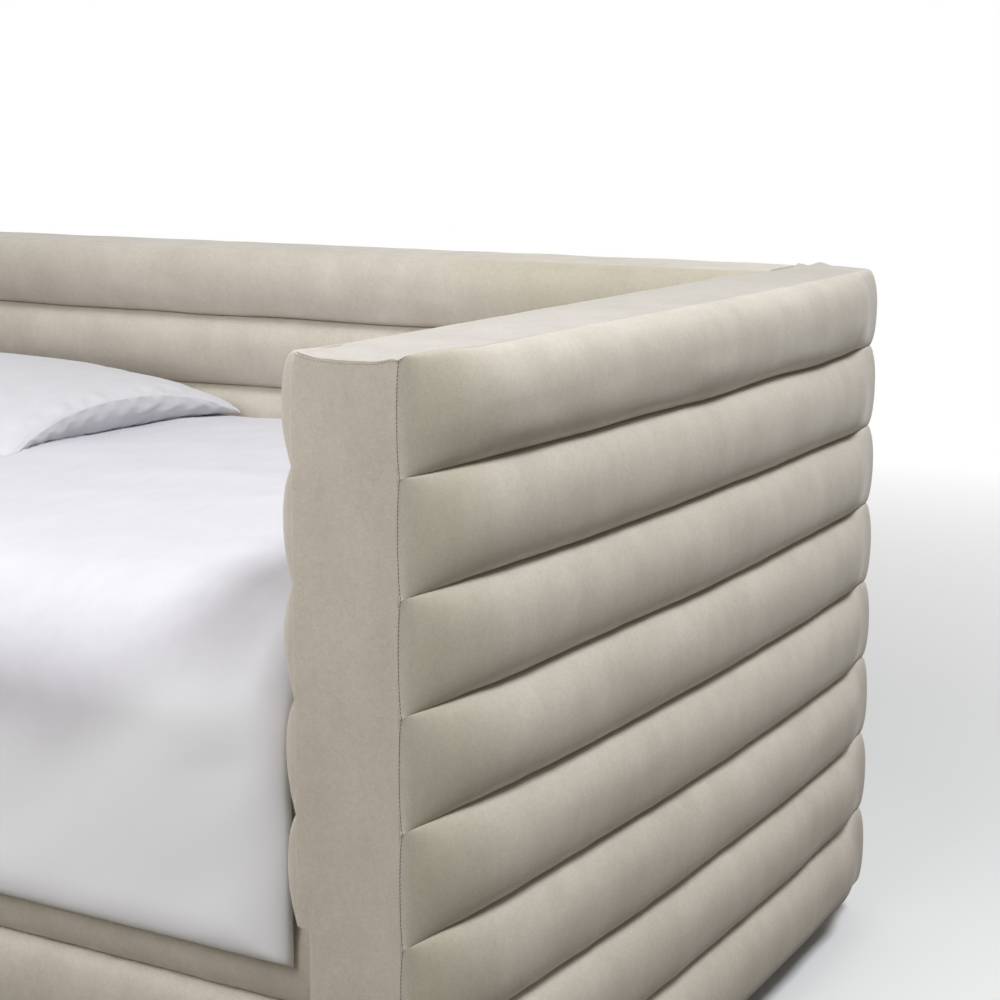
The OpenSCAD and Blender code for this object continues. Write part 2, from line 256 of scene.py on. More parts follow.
# %% [markdown]
# ## The upholstery cloth
# The cover is a brushed, short-napped cloth in a warm grey. Nap never lies quite even: large clouds
# where a hand has passed, faint streaks across the channels, and a fine grain. The clouds and streaks
# are noise mixed into the colour, and only the grain goes into the bump. Two attributes on the pieces
# darken the colour. The first makes it darker and warmer: brushed nap by the arms' front corners, and
# painted shade on the arm tops and the back wall. The second is painted shade, darker and cooler.

# %% Upholstery material
cloth = Shop("brushed_cloth")
clouds = cloth.noise(3.5, 3.0)
mottle = cloth.noise(16.0, 4.0, roughness=0.6)
streaks = cloth.noise(30.0, 3.0, stretch=(1.0, 1.0, 0.22))
grain = cloth.noise(560.0, 2.0, roughness=0.7)
pile = cloth.noise(150.0, 4.0, roughness=0.7)
tone = (clouds - 0.5) * 1.0 + (mottle - 0.5) * 0.9 + (streaks - 0.5) * 0.6
tone = tone + (grain - 0.5) * 1.3 + (pile - 0.5) * 0.9
shade = (tone * 0.55 + 0.5).clipped()
cloth_colour = cloth.mix(shade, tint(170, 161, 147), tint(213, 205, 193))
# The first attribute darkens and warms the colour: brushed nap by the arms' front corners, painted shade on
# the arm tops and the back wall.
brushed = cloth.add("ShaderNodeAttribute", {"attribute_name": "brushed"}, {}, "Fac")
nap_and_shade_patches = (brushed * (mottle * 1.6 + 0.1)).clipped()
cloth_colour = cloth.mix(nap_and_shade_patches, cloth_colour, (0.84, 0.85, 0.78), "MULTIPLY")
# The second attribute is painted shade: the colour darker and cooler, on the tops of the arms.
painted_cool_shade = cloth.add("ShaderNodeAttribute", {"attribute_name": "painted_cool_shade"}, {}, "Fac")
cloth_colour = cloth.mix(painted_cool_shade, cloth_colour, (0.80, 0.82, 0.90), "MULTIPLY")
cloth_bump = cloth.bump(grain * 0.6 + pile * 0.8, 0.0006, 0.35)
UPHOLSTERY = cloth.finish(
    Base_Color=cloth_colour,
    Roughness=(shade * -0.12 + 0.56),
    Normal=cloth_bump,
    Specular_IOR_Level=0.50,
    Sheen_Weight=0.16,
    Sheen_Roughness=0.4,
    Sheen_Tint=tint(250, 250, 252),
)
print("upholstery material ready")

# %% [markdown]
# ## Sizes from the CAD boxes
# A quilted face has two planes that matter: the plane of its seams, where the cover is stitched back
# to the board, and the plane that the stuffed channels bulge out to. The CAD boxes give the second,
# and the bulge takes us back to the first. The covers' backs stand a hair off the boards, so that the
# two never share a plane.

# %% Sizes
BULGE = 24 * MM
OFF_FACE = 0.3 * MM
OFF_TOP = 0.2 * MM
outer_low, outer_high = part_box("right_arm_outer_channels")
inner_low, inner_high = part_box("right_arm_inner_channels")
back_low, back_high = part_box("back_inner_channels")
rail_low, rail_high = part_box("front_rail_channels")
out_x = outer_high[0] - BULGE
skin_x = outer_low[0]
in_x = inner_low[0] + BULGE
bed_x = inner_high[0]
front_y = outer_low[1]
panel_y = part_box("right_arm_front_panel")[1][1]
rear_y = outer_high[1]
rear_skin_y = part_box("right_arm_rear_channels")[0][1]
back_y = back_low[1] + BULGE
back_skin_y = back_high[1]
rail_y = rail_low[1] + BULGE
rail_skin_y = rail_high[1]
foot_z = outer_low[2]
seat_z = inner_low[2]
top_z = outer_high[2]
board_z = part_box("right_arm_top_panel")[0][2]
CHANNEL = (seat_z - foot_z) / 3
outer_seams = [foot_z + CHANNEL * i for i in range(8)]
inner_seams = [seat_z + CHANNEL * i for i in range(5)]
print("seam planes", round(out_x, 4), round(in_x, 4), "channel", round(CHANNEL, 4))

# %% [markdown]
# ## From a grid of points to a stuffed piece
# Each quilted face is a grid: rows run up the wall, columns run along it. To be a real body and not a
# paper skin, the grid is closed at the back with long faces that lie on the board, mitred at the
# edges where two faces of the same arm meet.

# %% Unevenness and soft steps
def waves(u, v, seed, count=9):
    """A smooth unevenness, about -1 to 1, made of seeded sine waves. u and v are in wavelengths."""
    rng = np.random.default_rng(seed)
    total = np.zeros(np.broadcast(u, v).shape)
    for turn, step, phase in rng.uniform(0, 1, (count, 3)):
        pace = 0.55 + 0.9 * step
        along = np.cos(TAU * turn) * u + np.sin(TAU * turn) * v
        total = total + np.sin(TAU * (along * pace + phase))
    return total / math.sqrt(count * 2)


def ease(value):
    """0 below 0, 1 above 1, and a smooth step between."""
    t = np.clip(value, 0, 1)
    return t * t * (3 - 2 * t)


def swell(value, power=2.0):
    """Rises from 0 to 1 like a quarter of a rounded square: steep at first, flat at the end."""
    t = np.clip(value, 0, 1)
    return (1 - (1 - t) ** power) ** (1 / power)


def close_at_ends(count):
    """Steps from 0 to 1, as many as count, that lie close together at both ends."""
    return (1 - np.cos(np.linspace(0, math.pi, count))) / 2


print("half way up a swell is", round(float(swell(0.5)), 3))

# %% Meshes
def new_piece(name, points, faces, material, body, slot, sharp=50):
    """A smooth mesh object from points and faces, with its normals outward, riding on a CAD body."""
    form = bmesh.new()
    made = [form.verts.new(p) for p in points]
    for face in faces:
        form.faces.new([made[i] for i in face])
    bmesh.ops.remove_doubles(form, verts=form.verts, dist=2e-6)
    bmesh.ops.dissolve_degenerate(form, edges=form.edges, dist=1e-6)
    bmesh.ops.recalc_face_normals(form, faces=form.faces)
    mesh = bpy.data.meshes.new(name)
    form.to_mesh(mesh)
    form.free()
    mesh.shade_smooth()
    mesh.set_sharp_from_angle(angle=math.radians(sharp))
    mesh.materials.append(material)
    piece = bpy.data.objects.new(name, mesh)
    bpy.context.collection.objects.link(piece)
    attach(piece, body)
    return piece


def closed_grid(front, back):
    """Points and faces of a body: front is (rows, columns, 3), back has one row behind each end row."""
    rows, columns = front.shape[:2]
    points = np.concatenate([front.reshape(-1, 3), back.reshape(-1, 3)])
    number = np.arange(rows * columns).reshape(rows, columns)
    behind = rows * columns + np.arange(2 * columns).reshape(2, columns)
    rings = [(number[r], number[r + 1]) for r in range(rows - 1)]
    rings += [(number[-1], behind[1]), (behind[1], behind[0]), (behind[0], number[0])]
    faces = [
        (low[c], low[c + 1], high[c + 1], high[c])
        for low, high in rings
        for c in range(columns - 1)
    ]
    for c, order in ((0, 1), (columns - 1, -1)):
        faces.append(tuple([*number[:, c], behind[1, c], behind[0, c]][::-order]))
    return points, faces


def back_rows(count, x, y, z):
    """The two rows at the back of a body, behind the first and the last row of its front.

    Each of x, y and z is one number, one for each column, or one or many for each of the two rows."""
    back = np.empty((2, count, 3))
    for axis, value in enumerate((x, y, z)):
        back[:, :, axis] = value
    return back


print("a grid of 3 by 4 points makes", len(closed_grid(np.zeros((3, 4, 3)), np.zeros((2, 4, 3)))[1]), "faces")

# %% Covers
def mark(piece, name, value):
    """Gives each point of a piece a value that its material reads; value takes arrays of x, y and z."""
    spots = np.array([v.co for v in piece.data.vertices])
    attribute = piece.data.attributes.new(name, "FLOAT", "POINT")
    attribute.data.foreach_set("value", np.broadcast_to(value(*spots.T), len(spots)).astype(np.float32))


def quilt(name, grids, replaces):
    """Makes a padded piece in the upholstery cloth and puts away the CAD solids it stands for."""
    piece = new_piece(name, *closed_grid(*grids), UPHOLSTERY, "frame", "upholstery")
    for node in replaces:
        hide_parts(node)
    print(name, len(piece.data.vertices), "points")
    return piece


SEED_STEP = {"right": 0, "left": 600}
MIRROR = {"right": np.array([1, 1, 1]), "left": np.array([-1, 1, 1])}


def on_both_arms(make, seed):
    """The grids of one cover for each arm, both made as for a right arm, but each uneven in its own way."""
    return {side: make(side, seed + step) for side, step in SEED_STEP.items()}


def arm_quilt(side, name, grids, panels):
    """One arm's cover, mirrored if it is for the left arm."""
    placed = [grid * MIRROR[side] for grid in grids]
    return quilt(f"{side}_arm_{name}", placed, [f"{side}_arm_{panel}" for panel in panels])


print("covers are made for", *SEED_STEP)

# %% [markdown]
# ## The section of a channel wall
# In section a channel is a stuffed tube sewn flat on one side, close to half an ellipse. The top
# channel is different: from its fullest place it rolls over the edge of the wall to the seam on top.
# That shoulder is a superellipse, square where the stuffing is full and slack where it is thin.

# %% Channel wall
ROWS = 22
SHOULDER_ROWS = 30
FULLEST = 0.53
STUFFING = 29 * MM


def channel_rise(t):
    """How far a channel stands out at height t: 0 at its seams and 1 where it is fullest."""
    off = np.where(t < FULLEST, 1 - t / FULLEST, (t - FULLEST) / (1 - FULLEST))
    return (1 - np.clip(off, 0, 1) ** 2.1) ** 0.52


def channel_steps(last):
    """Heights of a channel's rows, close together at its seams. The last one stops where it is fullest."""
    if last:
        return 1 - np.cos(np.linspace(0, math.pi / 2, ROWS // 2 + 2))
    return close_at_ends(ROWS + 1)[:-1]


def wall_grid(s, seams, bulge, crown, square, lip, dip, seed, top=top_z):
    """Outward distance and height of every grid point, for places s along the wall.

    These are arrays over s: bulge is how far channels stand out and crown how far the whole wall bows;
    square is the power of the shoulder's superellipse, lip is how far out the seam on top lies, and
    dip how deep its groove is."""
    wobble = [
        1.3 * MM * waves(s / 0.35, 0, seed + k) + 0.4 * MM * waves(s / 0.07, 0, seed + 20 + k)
        for k in range(len(seams))
    ]
    out, high = [], []
    for k, seam in enumerate(seams):
        last = k == len(seams) - 1
        height = (top - seam) if last else seams[k + 1] - seam
        start = wobble[k] * (k > 0)
        end = 0 if last else wobble[k + 1]
        for step in channel_steps(last):
            t = step * (FULLEST if last else 1)
            rise = channel_rise(t)
            # stuffing is never even: low waves over the channel, and small puckers close to its seams
            near = np.exp(-min(t, 1 - t) * height / (9 * MM))
            uneven = 0.9 * MM * waves(s / 0.16, step, seed + 40 + k)
            pucker = 0.8 * MM * near * waves(s / 0.045, step * 0.3, seed + 80 + k)
            out.append(crown + bulge * rise + (uneven + pucker) * rise * np.clip(bulge / BULGE, 0.1, 1))
            high.append(seam + start * (1 - step) + end * step + t * height)
    full_out, full_high = out[-1], high[-1]
    lip = lip + 0.8 * MM * waves(s / 0.13, 0, seed + 120) * np.clip(bulge / BULGE, 0, 1)
    for angle in np.linspace(0, math.pi / 2, SHOULDER_ROWS + 1)[1:]:
        outward = max(math.cos(angle), 0) ** (2 / square)
        upward = math.sin(angle) ** (2 / square)
        slack = 0.5 * MM * waves(s / 0.10, angle, seed + 130) * math.sin(2 * angle)
        groove = dip * np.exp(-outward * np.abs(full_out - lip) / (3 * MM))
        out.append(lip + (full_out - lip) * outward)
        high.append(full_high + (top - full_high) * upward - groove + slack)
    return np.array(out), np.array(high)


print("channels swell", round(STUFFING / MM), "mm at most")

# %% [markdown]
# ## The outside of an arm
# One quilted cover wraps the outer side and goes round the rear corner. At the front it is gathered
# into an upright seam, so each channel thins out over its last hand's breadth, and the seam weaves a
# little where channels push it. Along its length the whole wall bows out. The seam on top rides a
# few millimetres high over its first hand's breadth, where the gathers of the corner lie under it.

# %% Path of the outer cover
CORNER_RADIUS = 12 * MM
FRONT_ROUND = 190 * MM
BEFORE_CORNER = 60 * MM
side_length = rear_y - CORNER_RADIUS - front_y
arc_length = CORNER_RADIUS * math.pi / 2
rear_length = out_x - CORNER_RADIUS - bed_x
arm_width = out_x - in_x
front_part = FRONT_ROUND * np.linspace(0, 1, 52) ** 1.7
side_part = np.linspace(FRONT_ROUND, side_length - BEFORE_CORNER, 160)[1:]
end_part = np.linspace(side_length - BEFORE_CORNER, side_length, 18)[1:]
arc_part = side_length + np.linspace(0, arc_length, 9)[1:]
rear_part = side_length + arc_length + np.linspace(0, rear_length, 20)[1:]
outer_s = np.concatenate([front_part, side_part, end_part, arc_part, rear_part])


def outer_path(s):
    """Place and outward direction, in plan, at distance s along the seam plane from the front seam."""
    angle = np.clip((s - side_length) / arc_length, 0, 1) * math.pi / 2
    x = out_x - CORNER_RADIUS + CORNER_RADIUS * np.cos(angle)
    y = front_y + np.minimum(s, side_length) + CORNER_RADIUS * np.sin(angle)
    x = x - np.clip(s - side_length - arc_length, 0, None)
    return x, y, np.cos(angle), np.sin(angle)


def ear(v, s):
    """How far gathers lift the front top corners: v is 0 at the inner one and 1 at the outer one."""
    outer_ear = 4.4 * MM * np.exp(-(((1 - v) * arm_width / (14 * MM)) ** 2)) * (1 - ease((s - 0.05) / 0.09))
    inner_ear = 2.6 * MM * np.exp(-((v * arm_width / (15 * MM)) ** 2) - (s / (40 * MM)) ** 2)
    knot = 3.0 * MM * np.exp(-((((1 - v) * arm_width) ** 2 + s**2) / (6 * MM) ** 2))
    return outer_ear + inner_ear - knot


print("outer cover runs", round(float(outer_s[-1]), 3), "m round the arm")

# %% Outer quilts
def outer_quilt_grids(side, seed):
    """Front and back grids of the cover on an arm's outer side and rear."""
    s = outer_s
    turn = side_length + arc_length / 2
    weave = -2.5 * MM
    from_turn = np.abs(s - turn)
    rear_end = np.clip((s[-1] - s) / (30 * MM), 0, 1)
    corner_bulge = 9 * MM
    bulge = weave + (STUFFING - weave) * (1 - (1 - np.clip(s / FRONT_ROUND, 0, 1)) ** 2.2)
    soften = ease((from_turn - 10 * MM) / (110 * MM))
    bulge = np.minimum(bulge, corner_bulge + (STUFFING - corner_bulge) * soften)
    bulge = np.where(s > turn, np.minimum(bulge, BULGE), bulge)
    bulge = bulge * (0.25 + 0.75 * swell(rear_end))
    crown = 1 * MM + 17 * MM * np.sin(np.clip(s / (side_length + arc_length), 0, 1) * math.pi)
    square = 2.0 + 0.5 * ease((s - 0.10) / 0.25) - 0.4 * np.exp(-((from_turn / (90 * MM)) ** 2))
    swung_out = np.sin(np.clip((s - 0.30) / 0.80, 0, 1) * math.pi)
    lip = 1.0 * MM + 6 * MM * swung_out - 4 * MM * np.exp(-((from_turn / (30 * MM)) ** 2))
    dip = 1.2 * MM * np.exp(-s / 0.30) * ease(s / (10 * MM))
    out, high = wall_grid(s, outer_seams, bulge, crown, square, lip, dip, seed)
    high = high + ear(np.ones_like(s), s) * ease((high - (top_z - 34 * MM)) / (34 * MM))
    x, y, nx, ny = outer_path(s)
    # channels also push the front seam a little forward
    push = np.clip(out / weave, 0, 1) * (s < 1e-9)
    front = np.stack([x + out * nx, y + out * ny, high], axis=-1)
    front[:, :, 1] -= 1.5 * MM * push
    behind_x = np.minimum(x, skin_x + OFF_FACE)
    behind_y = np.clip(y, panel_y, rear_skin_y + OFF_FACE)
    return front, back_rows(len(s), behind_x, behind_y, [[foot_z], [board_z + OFF_TOP]])


def near_corner(x, y, z):
    """The band beside the front corner seam that is darker: brushed nap, and painted shade."""
    s = y - front_y
    return ease(s / (14 * MM)) * (1 - ease((s - 38 * MM) / (110 * MM)))


outer_covers = on_both_arms(outer_quilt_grids, 11)
for side, grids in outer_covers.items():
    cover = arm_quilt(side, "outer_quilt", grids, ["outer_channels", "rear_channels"])
    # Brushed nap and painted shade beside the front corner seam.
    mark(cover, "brushed", near_corner)

# %% [markdown]
# ## The inside of an arm
# The inner side has the same channels from the seat up. Its front edge is not a stitched corner: the
# channels are full almost at once, and show as a row of soft bulges past the front panel.

# %% Inner quilts
INNER_ROUND = 24 * MM
INNER_END = 30 * MM
inner_length = inner_high[1] - front_y
inner_s = np.concatenate(
    [
        INNER_ROUND * np.linspace(0, 1, 12) ** 1.5,
        np.linspace(INNER_ROUND, inner_length - INNER_END, 150)[1:],
        np.linspace(inner_length - INNER_END, inner_length, 12)[1:],
    ]
)


def inner_quilt_grids(side, seed):
    """Front and back grids of the cover on an arm's inner side."""
    s = inner_s
    bulge = 0.5 * MM + (BULGE - 2 * MM) * swell(s / INNER_ROUND, 1.7)
    bulge = bulge * (0.45 + 0.55 * swell((inner_length - s) / (25 * MM)))
    crown = 3.5 * MM + 2 * MM * np.sin(s / inner_length * math.pi)
    square = 2.8 - 0.6 * ease(s / 0.15)
    lip = 0.4 * crown - 8 * MM * np.exp(-s / (12 * MM))
    dip = 0.8 * MM * np.exp(-s / 0.30)
    out, high = wall_grid(s, inner_seams, bulge, crown, square, lip, dip, seed)
    high = high + ear(np.zeros_like(s), s) * ease((high - (top_z - 16 * MM)) / (16 * MM))
    y = np.broadcast_to(front_y + s, out.shape)
    front = np.stack([in_x - out, y, high], axis=-1)
    behind_y = np.clip(front_y + s, panel_y, None)
    return front, back_rows(len(s), bed_x - OFF_FACE, behind_y, [[seat_z], [board_z + OFF_TOP]])


inner_covers = on_both_arms(inner_quilt_grids, 23)
for side, grids in inner_covers.items():
    arm_quilt(side, "inner_quilt", grids, ["inner_channels"])

# %% [markdown]
# ## The front panel and the top panel
# The narrow front panel is plain and nearly flat. Its top edge hangs a few millimetres between two
# crisp corners, where the seam allowance is thick. Low down its cover turns the inner corner and runs
# back to the front rail. The top panel begins on the same top edge as the front panel, so both
# are built from one shared curve, and both take their other edges from the quilts beside them.

# %% Front panels
PANEL_COLUMNS = 34
RETURN = np.array([67, 34, 16, 8, 2.5]) * MM
RETURN_INWARD = np.array([2, 2, 2, -0.6, -0.6]) * MM


def sag(v):
    """How far the front top edge hangs at v, 0 at the inner corner and 1 at the outer one."""
    ripples = 0.35 * MM * waves(v * 4.5, 0, 77) * np.sin(v * math.pi)
    return 1.8 * MM * np.sin(v * math.pi) ** 0.5 + ripples


def front_swell(v):
    """How far the front panel stands forward at v."""
    from_inner, from_outer = v * arm_width, (1 - v) * arm_width
    return 2.6 * MM * np.minimum(swell(from_inner / (9 * MM)), swell(from_outer / (4 * MM)))


def front_panel_grids(side, seed):
    """Front and back grids of the plain panel on the front of an arm."""
    edge = outer_covers[side][0][:, 0]
    z = edge[:, 2]
    inner_edge = inner_covers[side][0][:, 0]
    top_pull = ease((z - (top_z - 70 * MM)) / (70 * MM))
    left_z = z + (inner_edge[-1, 2] - edge[-1, 2]) * top_pull
    left = np.interp(left_z, inner_edge[:, 2], inner_edge[:, 0])
    left = np.where(z < seat_z, bed_x, left)
    top_pull = top_pull[:, None]
    v = close_at_ends(PANEL_COLUMNS)[None, :]
    width = edge[:, :1] - left[:, None]
    x = left[:, None] + v * width
    spread = np.abs(edge[:, 1:2] - front_y)
    below = swell((z[:, None] - foot_z) / (8 * MM))
    swollen = front_swell(v) * (0.35 + 0.65 * ease((1 - v) * width / (45 * MM))) * below
    swollen = swollen + 0.9 * MM * np.sin(v * math.pi) * below * waves(x / 0.2, z[:, None] / 0.3, seed)
    y = front_y - swollen - spread * v**6
    corner_gap = inner_edge[-1, 2] - edge[-1, 2] + ear(np.array(1.0), 0) - ear(np.array(0.0), 0)
    lift = (ear(v, 0) - ear(np.array(1.0), 0)) * ease((z[:, None] - (top_z - 20 * MM)) / (20 * MM))
    height = z[:, None] + (corner_gap * (1 - v) - sag(v)) * top_pull + lift
    front = np.stack([x, y, height], axis=-1)
    front[:, -1] = edge
    front[:, 0, 1] = front_y + 0.6 * MM
    returned = np.repeat(front[:, :1], len(RETURN), axis=1)
    returned[:, :, 0] += np.where(z[:, None] < seat_z, -0.6 * MM, RETURN_INWARD)
    returned[:, :, 1] = front_y + RETURN
    front = np.concatenate([returned, front], axis=1)
    behind_x = np.clip(front[[0, -1], :, 0], bed_x + 0.2 * MM, skin_x)
    behind_y = np.full(front.shape[1], panel_y - 0.1 * MM)
    behind_y[: len(RETURN)] = np.maximum(returned[0, :, 1], behind_y[0])
    return front, back_rows(front.shape[1], behind_x, behind_y, [[foot_z], [board_z]])


front_covers = on_both_arms(front_panel_grids, 31)
for side, grids in front_covers.items():
    arm_quilt(side, "front_cover", grids, ["front_panel"])

# %% Top panels
def top_panel_grids(side, seed):
    """Front and back grids of the long panel on top of an arm."""
    outer_edge = outer_covers[side][0][-1]
    on_side = outer_s <= side_length + 1e-9
    edge = outer_edge[on_side]
    rim = outer_edge[~on_side]
    arc = rim[rim[:, 0] > out_x - 20 * MM]
    y = np.concatenate([edge[:, 1], arc[:-1, 1], [rear_y]])
    outside = np.concatenate([edge[:, 0], arc[:, 0]])
    inner_edge = inner_covers[side][0][-1]
    inside = np.interp(y, inner_edge[:, 1], inner_edge[:, 0])
    inside = inside + (bed_x - inside) * ease((y - inner_edge[-1, 1]) / (back_y - inner_edge[-1, 1]))
    outer_height = np.concatenate([edge[:, 2], arc[:, 2]])
    inner_height = np.interp(y, inner_edge[:, 1], inner_edge[:, 2])
    v = close_at_ends(40)[:, None]
    s = (y - front_y)[None, :]
    x = inside + v * (outside - inside)
    height = inner_height + v * (outer_height - inner_height)
    near_edge = np.minimum(v, 1 - v) * (outside - inside)
    crisp = np.exp(-s / 0.30)
    dome = 2.4 * MM * (crisp * swell(near_edge / (26 * MM)) + (1 - crisp) * ease(near_edge / (40 * MM)))
    wrinkles = 0.7 * MM * waves(s / 0.11, v * 0.6, seed) * swell(near_edge / (20 * MM))
    front_fall = sag(v) * np.exp(-s / 0.035)
    depth = swell(s / (20 * MM))
    ears = ear(v, s) - ear(np.ones_like(v), s) * v - ear(np.zeros_like(v), s) * (1 - v)
    height = height + (dome + wrinkles) * depth - front_fall + ears
    forward = front_swell(v) * (0.35 + 0.65 * ease((1 - v) * arm_width / (45 * MM)))
    back_edge = (rear_y - y)[None, :]
    # two small puckers over the seam at the rear end
    for inboard, lift in ((69 * MM, 4.6 * MM), (99 * MM, 4.0 * MM)):
        away = np.hypot(x - (out_x - inboard), (back_edge - 8 * MM) * 0.8) / (11 * MM)
        height = height + lift * np.exp(-(away**2))
    height = top_z + (height - top_z) * np.where(back_edge < 30 * MM, swell(back_edge / (12 * MM)), 1)
    front = np.stack([x, y - forward * np.exp(-s / (6 * MM)), height], axis=-1)
    front[:, -1, 1] = np.interp(front[:, -1, 0], rim[::-1, 0], rim[::-1, 1])
    behind_y = np.interp(y, [y[0], y[-1]], [panel_y, rear_skin_y])
    return front, back_rows(len(y), [[bed_x], [skin_x]], behind_y, board_z + OFF_TOP)


for side, grids in on_both_arms(top_panel_grids, 41).items():
    cover = arm_quilt(side, "top_cover", grids, ["top_panel"])
    # Painted shade on the arm's top: darker and cooler all over, and darker and warmer towards the rear.
    mark(cover, "painted_cool_shade", lambda x, y, z: 0.6)
    mark(cover, "brushed", lambda x, y, z: 0.6 * ease((y - front_y - 0.1) / 0.6))

# %% [markdown]
# ## The back wall
# The back is the same construction laid across: an inner quilt above the seat, a plain top panel, and
# a full-height quilt behind. Its ends butt against the arms, so they round over in a short length.

# %% Back quilts
BACK_END = 30 * MM
BACK_FULL = 27 * MM
back_s = np.concatenate(
    [
        BACK_END * np.linspace(0, 1, 10) ** 1.4,
        np.linspace(BACK_END, 2 * bed_x - BACK_END, 240)[1:-1],
        2 * bed_x - BACK_END * np.linspace(1, 0, 10) ** 1.4,
    ]
)


def back_wall_grids(seams, plane_y, skin_y, direction, end_full, seed):
    """Front and back grids of a quilt across the back; direction is -1 for the side facing the bed."""
    s = back_s
    to_end = np.minimum(s, s[-1] - s)
    bulge = BACK_FULL * (end_full + (1 - end_full) * swell(to_end / (28 * MM)))
    crown = 4 * MM * np.sin(s / s[-1] * math.pi)
    square = np.full_like(s, 2.3)
    lip = crown + 2 * MM
    dip = np.full_like(s, 0.6 * MM)
    out, high = wall_grid(s, seams, bulge, crown, square, lip, dip, seed)
    x = np.broadcast_to(s - bed_x, out.shape)
    front = np.stack([x, plane_y + direction * out, high], axis=-1)
    heights = [[seams[0]], [board_z + OFF_TOP]]
    return front, back_rows(len(s), s - bed_x, skin_y + direction * OFF_FACE, heights)


back_in = back_wall_grids(inner_seams, back_y, back_skin_y, -1, 0.7, 53)
back_out = back_wall_grids(outer_seams, rear_y, rear_skin_y, 1, 0.3, 59)
back_face = quilt("back_inner_quilt", back_in, ["back_inner_channels"])
# Painted shade: the back wall's inner face is darker towards the right arm, where the key lamp lights it
# most.
mark(back_face, "brushed", lambda x, y, z: ease((x - 0.40) / 0.30))
quilt("back_outer_quilt", back_out, ["back_outer_channels"])

# %% Back top panel
def back_top_grids(seed):
    """Front and back grids of the plain panel on top of the back."""
    near = back_in[0][-1]
    far = back_out[0][-1]
    v = close_at_ends(30)[:, None]
    across = far[:, 1] - near[:, 1]
    y = near[:, 1] + v * across
    x = np.broadcast_to(near[:, 0], y.shape)
    near_edge = np.minimum(v, 1 - v) * across
    height = near[:, 2] + v * (far[:, 2] - near[:, 2])
    height = height + (2.6 + 0.6 * waves(x / 0.14, v * 0.6, seed)) * MM * swell(near_edge / (24 * MM))
    front = np.stack([x, y, height], axis=-1)
    return front, back_rows(len(near), near[:, 0], [[back_skin_y], [rear_skin_y]], board_z + OFF_TOP)


quilt("back_top_cover", back_top_grids(61), ["back_top_panel"])

# %% [markdown]
# ## The front rail
# Below the bed the rail has three channels of the same height as the arms' lower ones, so the seams
# line up round the corner. A narrow padded strip covers the top of the rail, under the duvet.

# %% Front rail
def rail_grids(seed):
    """Front and back grids of the quilt on the front rail."""
    s = back_s
    to_end = np.minimum(s, s[-1] - s)
    bulge = BULGE * (0.35 + 0.65 * swell(to_end / (28 * MM)))
    flat = np.zeros_like(s)
    square = np.full_like(s, 2.2)
    out, high = wall_grid(s, outer_seams[:3], bulge, flat, square, flat, flat, seed, top=seat_z)
    x = np.broadcast_to(s - bed_x, out.shape)
    front = np.stack([x, rail_y - out, high], axis=-1)
    return front, back_rows(len(s), s - bed_x, rail_skin_y, [[foot_z], [seat_z]])


quilt("front_rail_quilt", rail_grids(67), ["front_rail_channels"])

# %% Strip on top of the rail
STRIP_EDGE = 9 * MM
STRIP_EDGE_HIGH = 1 * MM
strip_low, strip_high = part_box("front_rail_strip")


def strip_grids():
    """Front and back grids of the padded strip on top of the rail."""
    x, v = np.meshgrid(np.linspace(strip_low[0], strip_high[0], 200), close_at_ends(18))
    depth = strip_high[1] - strip_low[1]
    near_edge = np.minimum(v, 1 - v) * depth
    near_end = np.minimum(x - strip_low[0], strip_high[0] - x)
    tall = strip_high[2] - strip_low[2]
    puff = swell(near_edge / STRIP_EDGE) * (0.6 + 0.4 * swell(near_end / STRIP_EDGE))
    height = strip_low[2] + STRIP_EDGE_HIGH + (tall - STRIP_EDGE_HIGH) * puff
    front = np.stack([x, strip_low[1] + v * depth, height], axis=-1)
    return front, back_rows(x.shape[1], x[[0, -1]], front[[0, -1], :, 1], strip_low[2])


quilt("front_rail_top_strip", strip_grids(), ["front_rail_strip"])

# %% [markdown]
# ## Thread
# The upright corner seams, the seam across the front's top edge and the first part of the seam on top
# are sewn with a darker thread. At this scale each stitch is a small slanted capsule of thread lying
# in the groove. The stitches of an arm are made as one mesh, a few rings of points to a stitch.

# %% Thread
thread_shop = Shop("sewing_thread")
twist = thread_shop.noise(900.0, 2.0)
thread_colour = thread_shop.mix(twist, tint(70, 62, 52), tint(98, 88, 76))
THREAD = thread_shop.finish(
    Base_Color=thread_colour, Roughness=0.8, Normal=thread_shop.bump(twist, 0.0002, 0.5)
)
STITCH_PITCH = 3.6 * MM
STITCH_SIDES = 6
STITCH_RINGS = ((-0.5, 0.35), (-0.32, 0.9), (0.32, 0.9), (0.5, 0.35))
STITCH_SLANT = 0.16


def resampled(line, pitch):
    """Points at an even pitch along a line of points, and the direction of the line at each."""
    lengths = np.concatenate([[0], np.cumsum(np.linalg.norm(np.diff(line, axis=0), axis=1))])
    places = np.arange(pitch / 2, lengths[-1], pitch)
    points = np.stack([np.interp(places, lengths, line[:, k]) for k in range(3)], axis=1)
    ahead = np.stack([np.interp(places + pitch / 4, lengths, line[:, k]) for k in range(3)], axis=1)
    way = ahead - points
    return points, way / np.linalg.norm(way, axis=1, keepdims=True)


def ring_faces(rings, sides, ends="capped"):
    """Quads between rings of points, and a face over each end, or quads back to the first ring."""
    faces = []
    for r in range(rings - 1 if ends == "capped" else rings):
        low, high = r * sides, (r + 1) % rings * sides
        for c in range(sides):
            n = (c + 1) % sides
            faces.append((low + c, low + n, high + n, high + c))
    if ends == "capped":
        faces.append(tuple(reversed(range(sides))))
        faces.append(tuple(range((rings - 1) * sides, rings * sides)))
    return faces


def add_part(whole, points, faces):
    """Adds the points and faces of a part to those of a whole, which is a pair of lists."""
    whole[1].extend(tuple(index + len(whole[0]) for index in face) for face in faces)
    whole[0].extend(points)


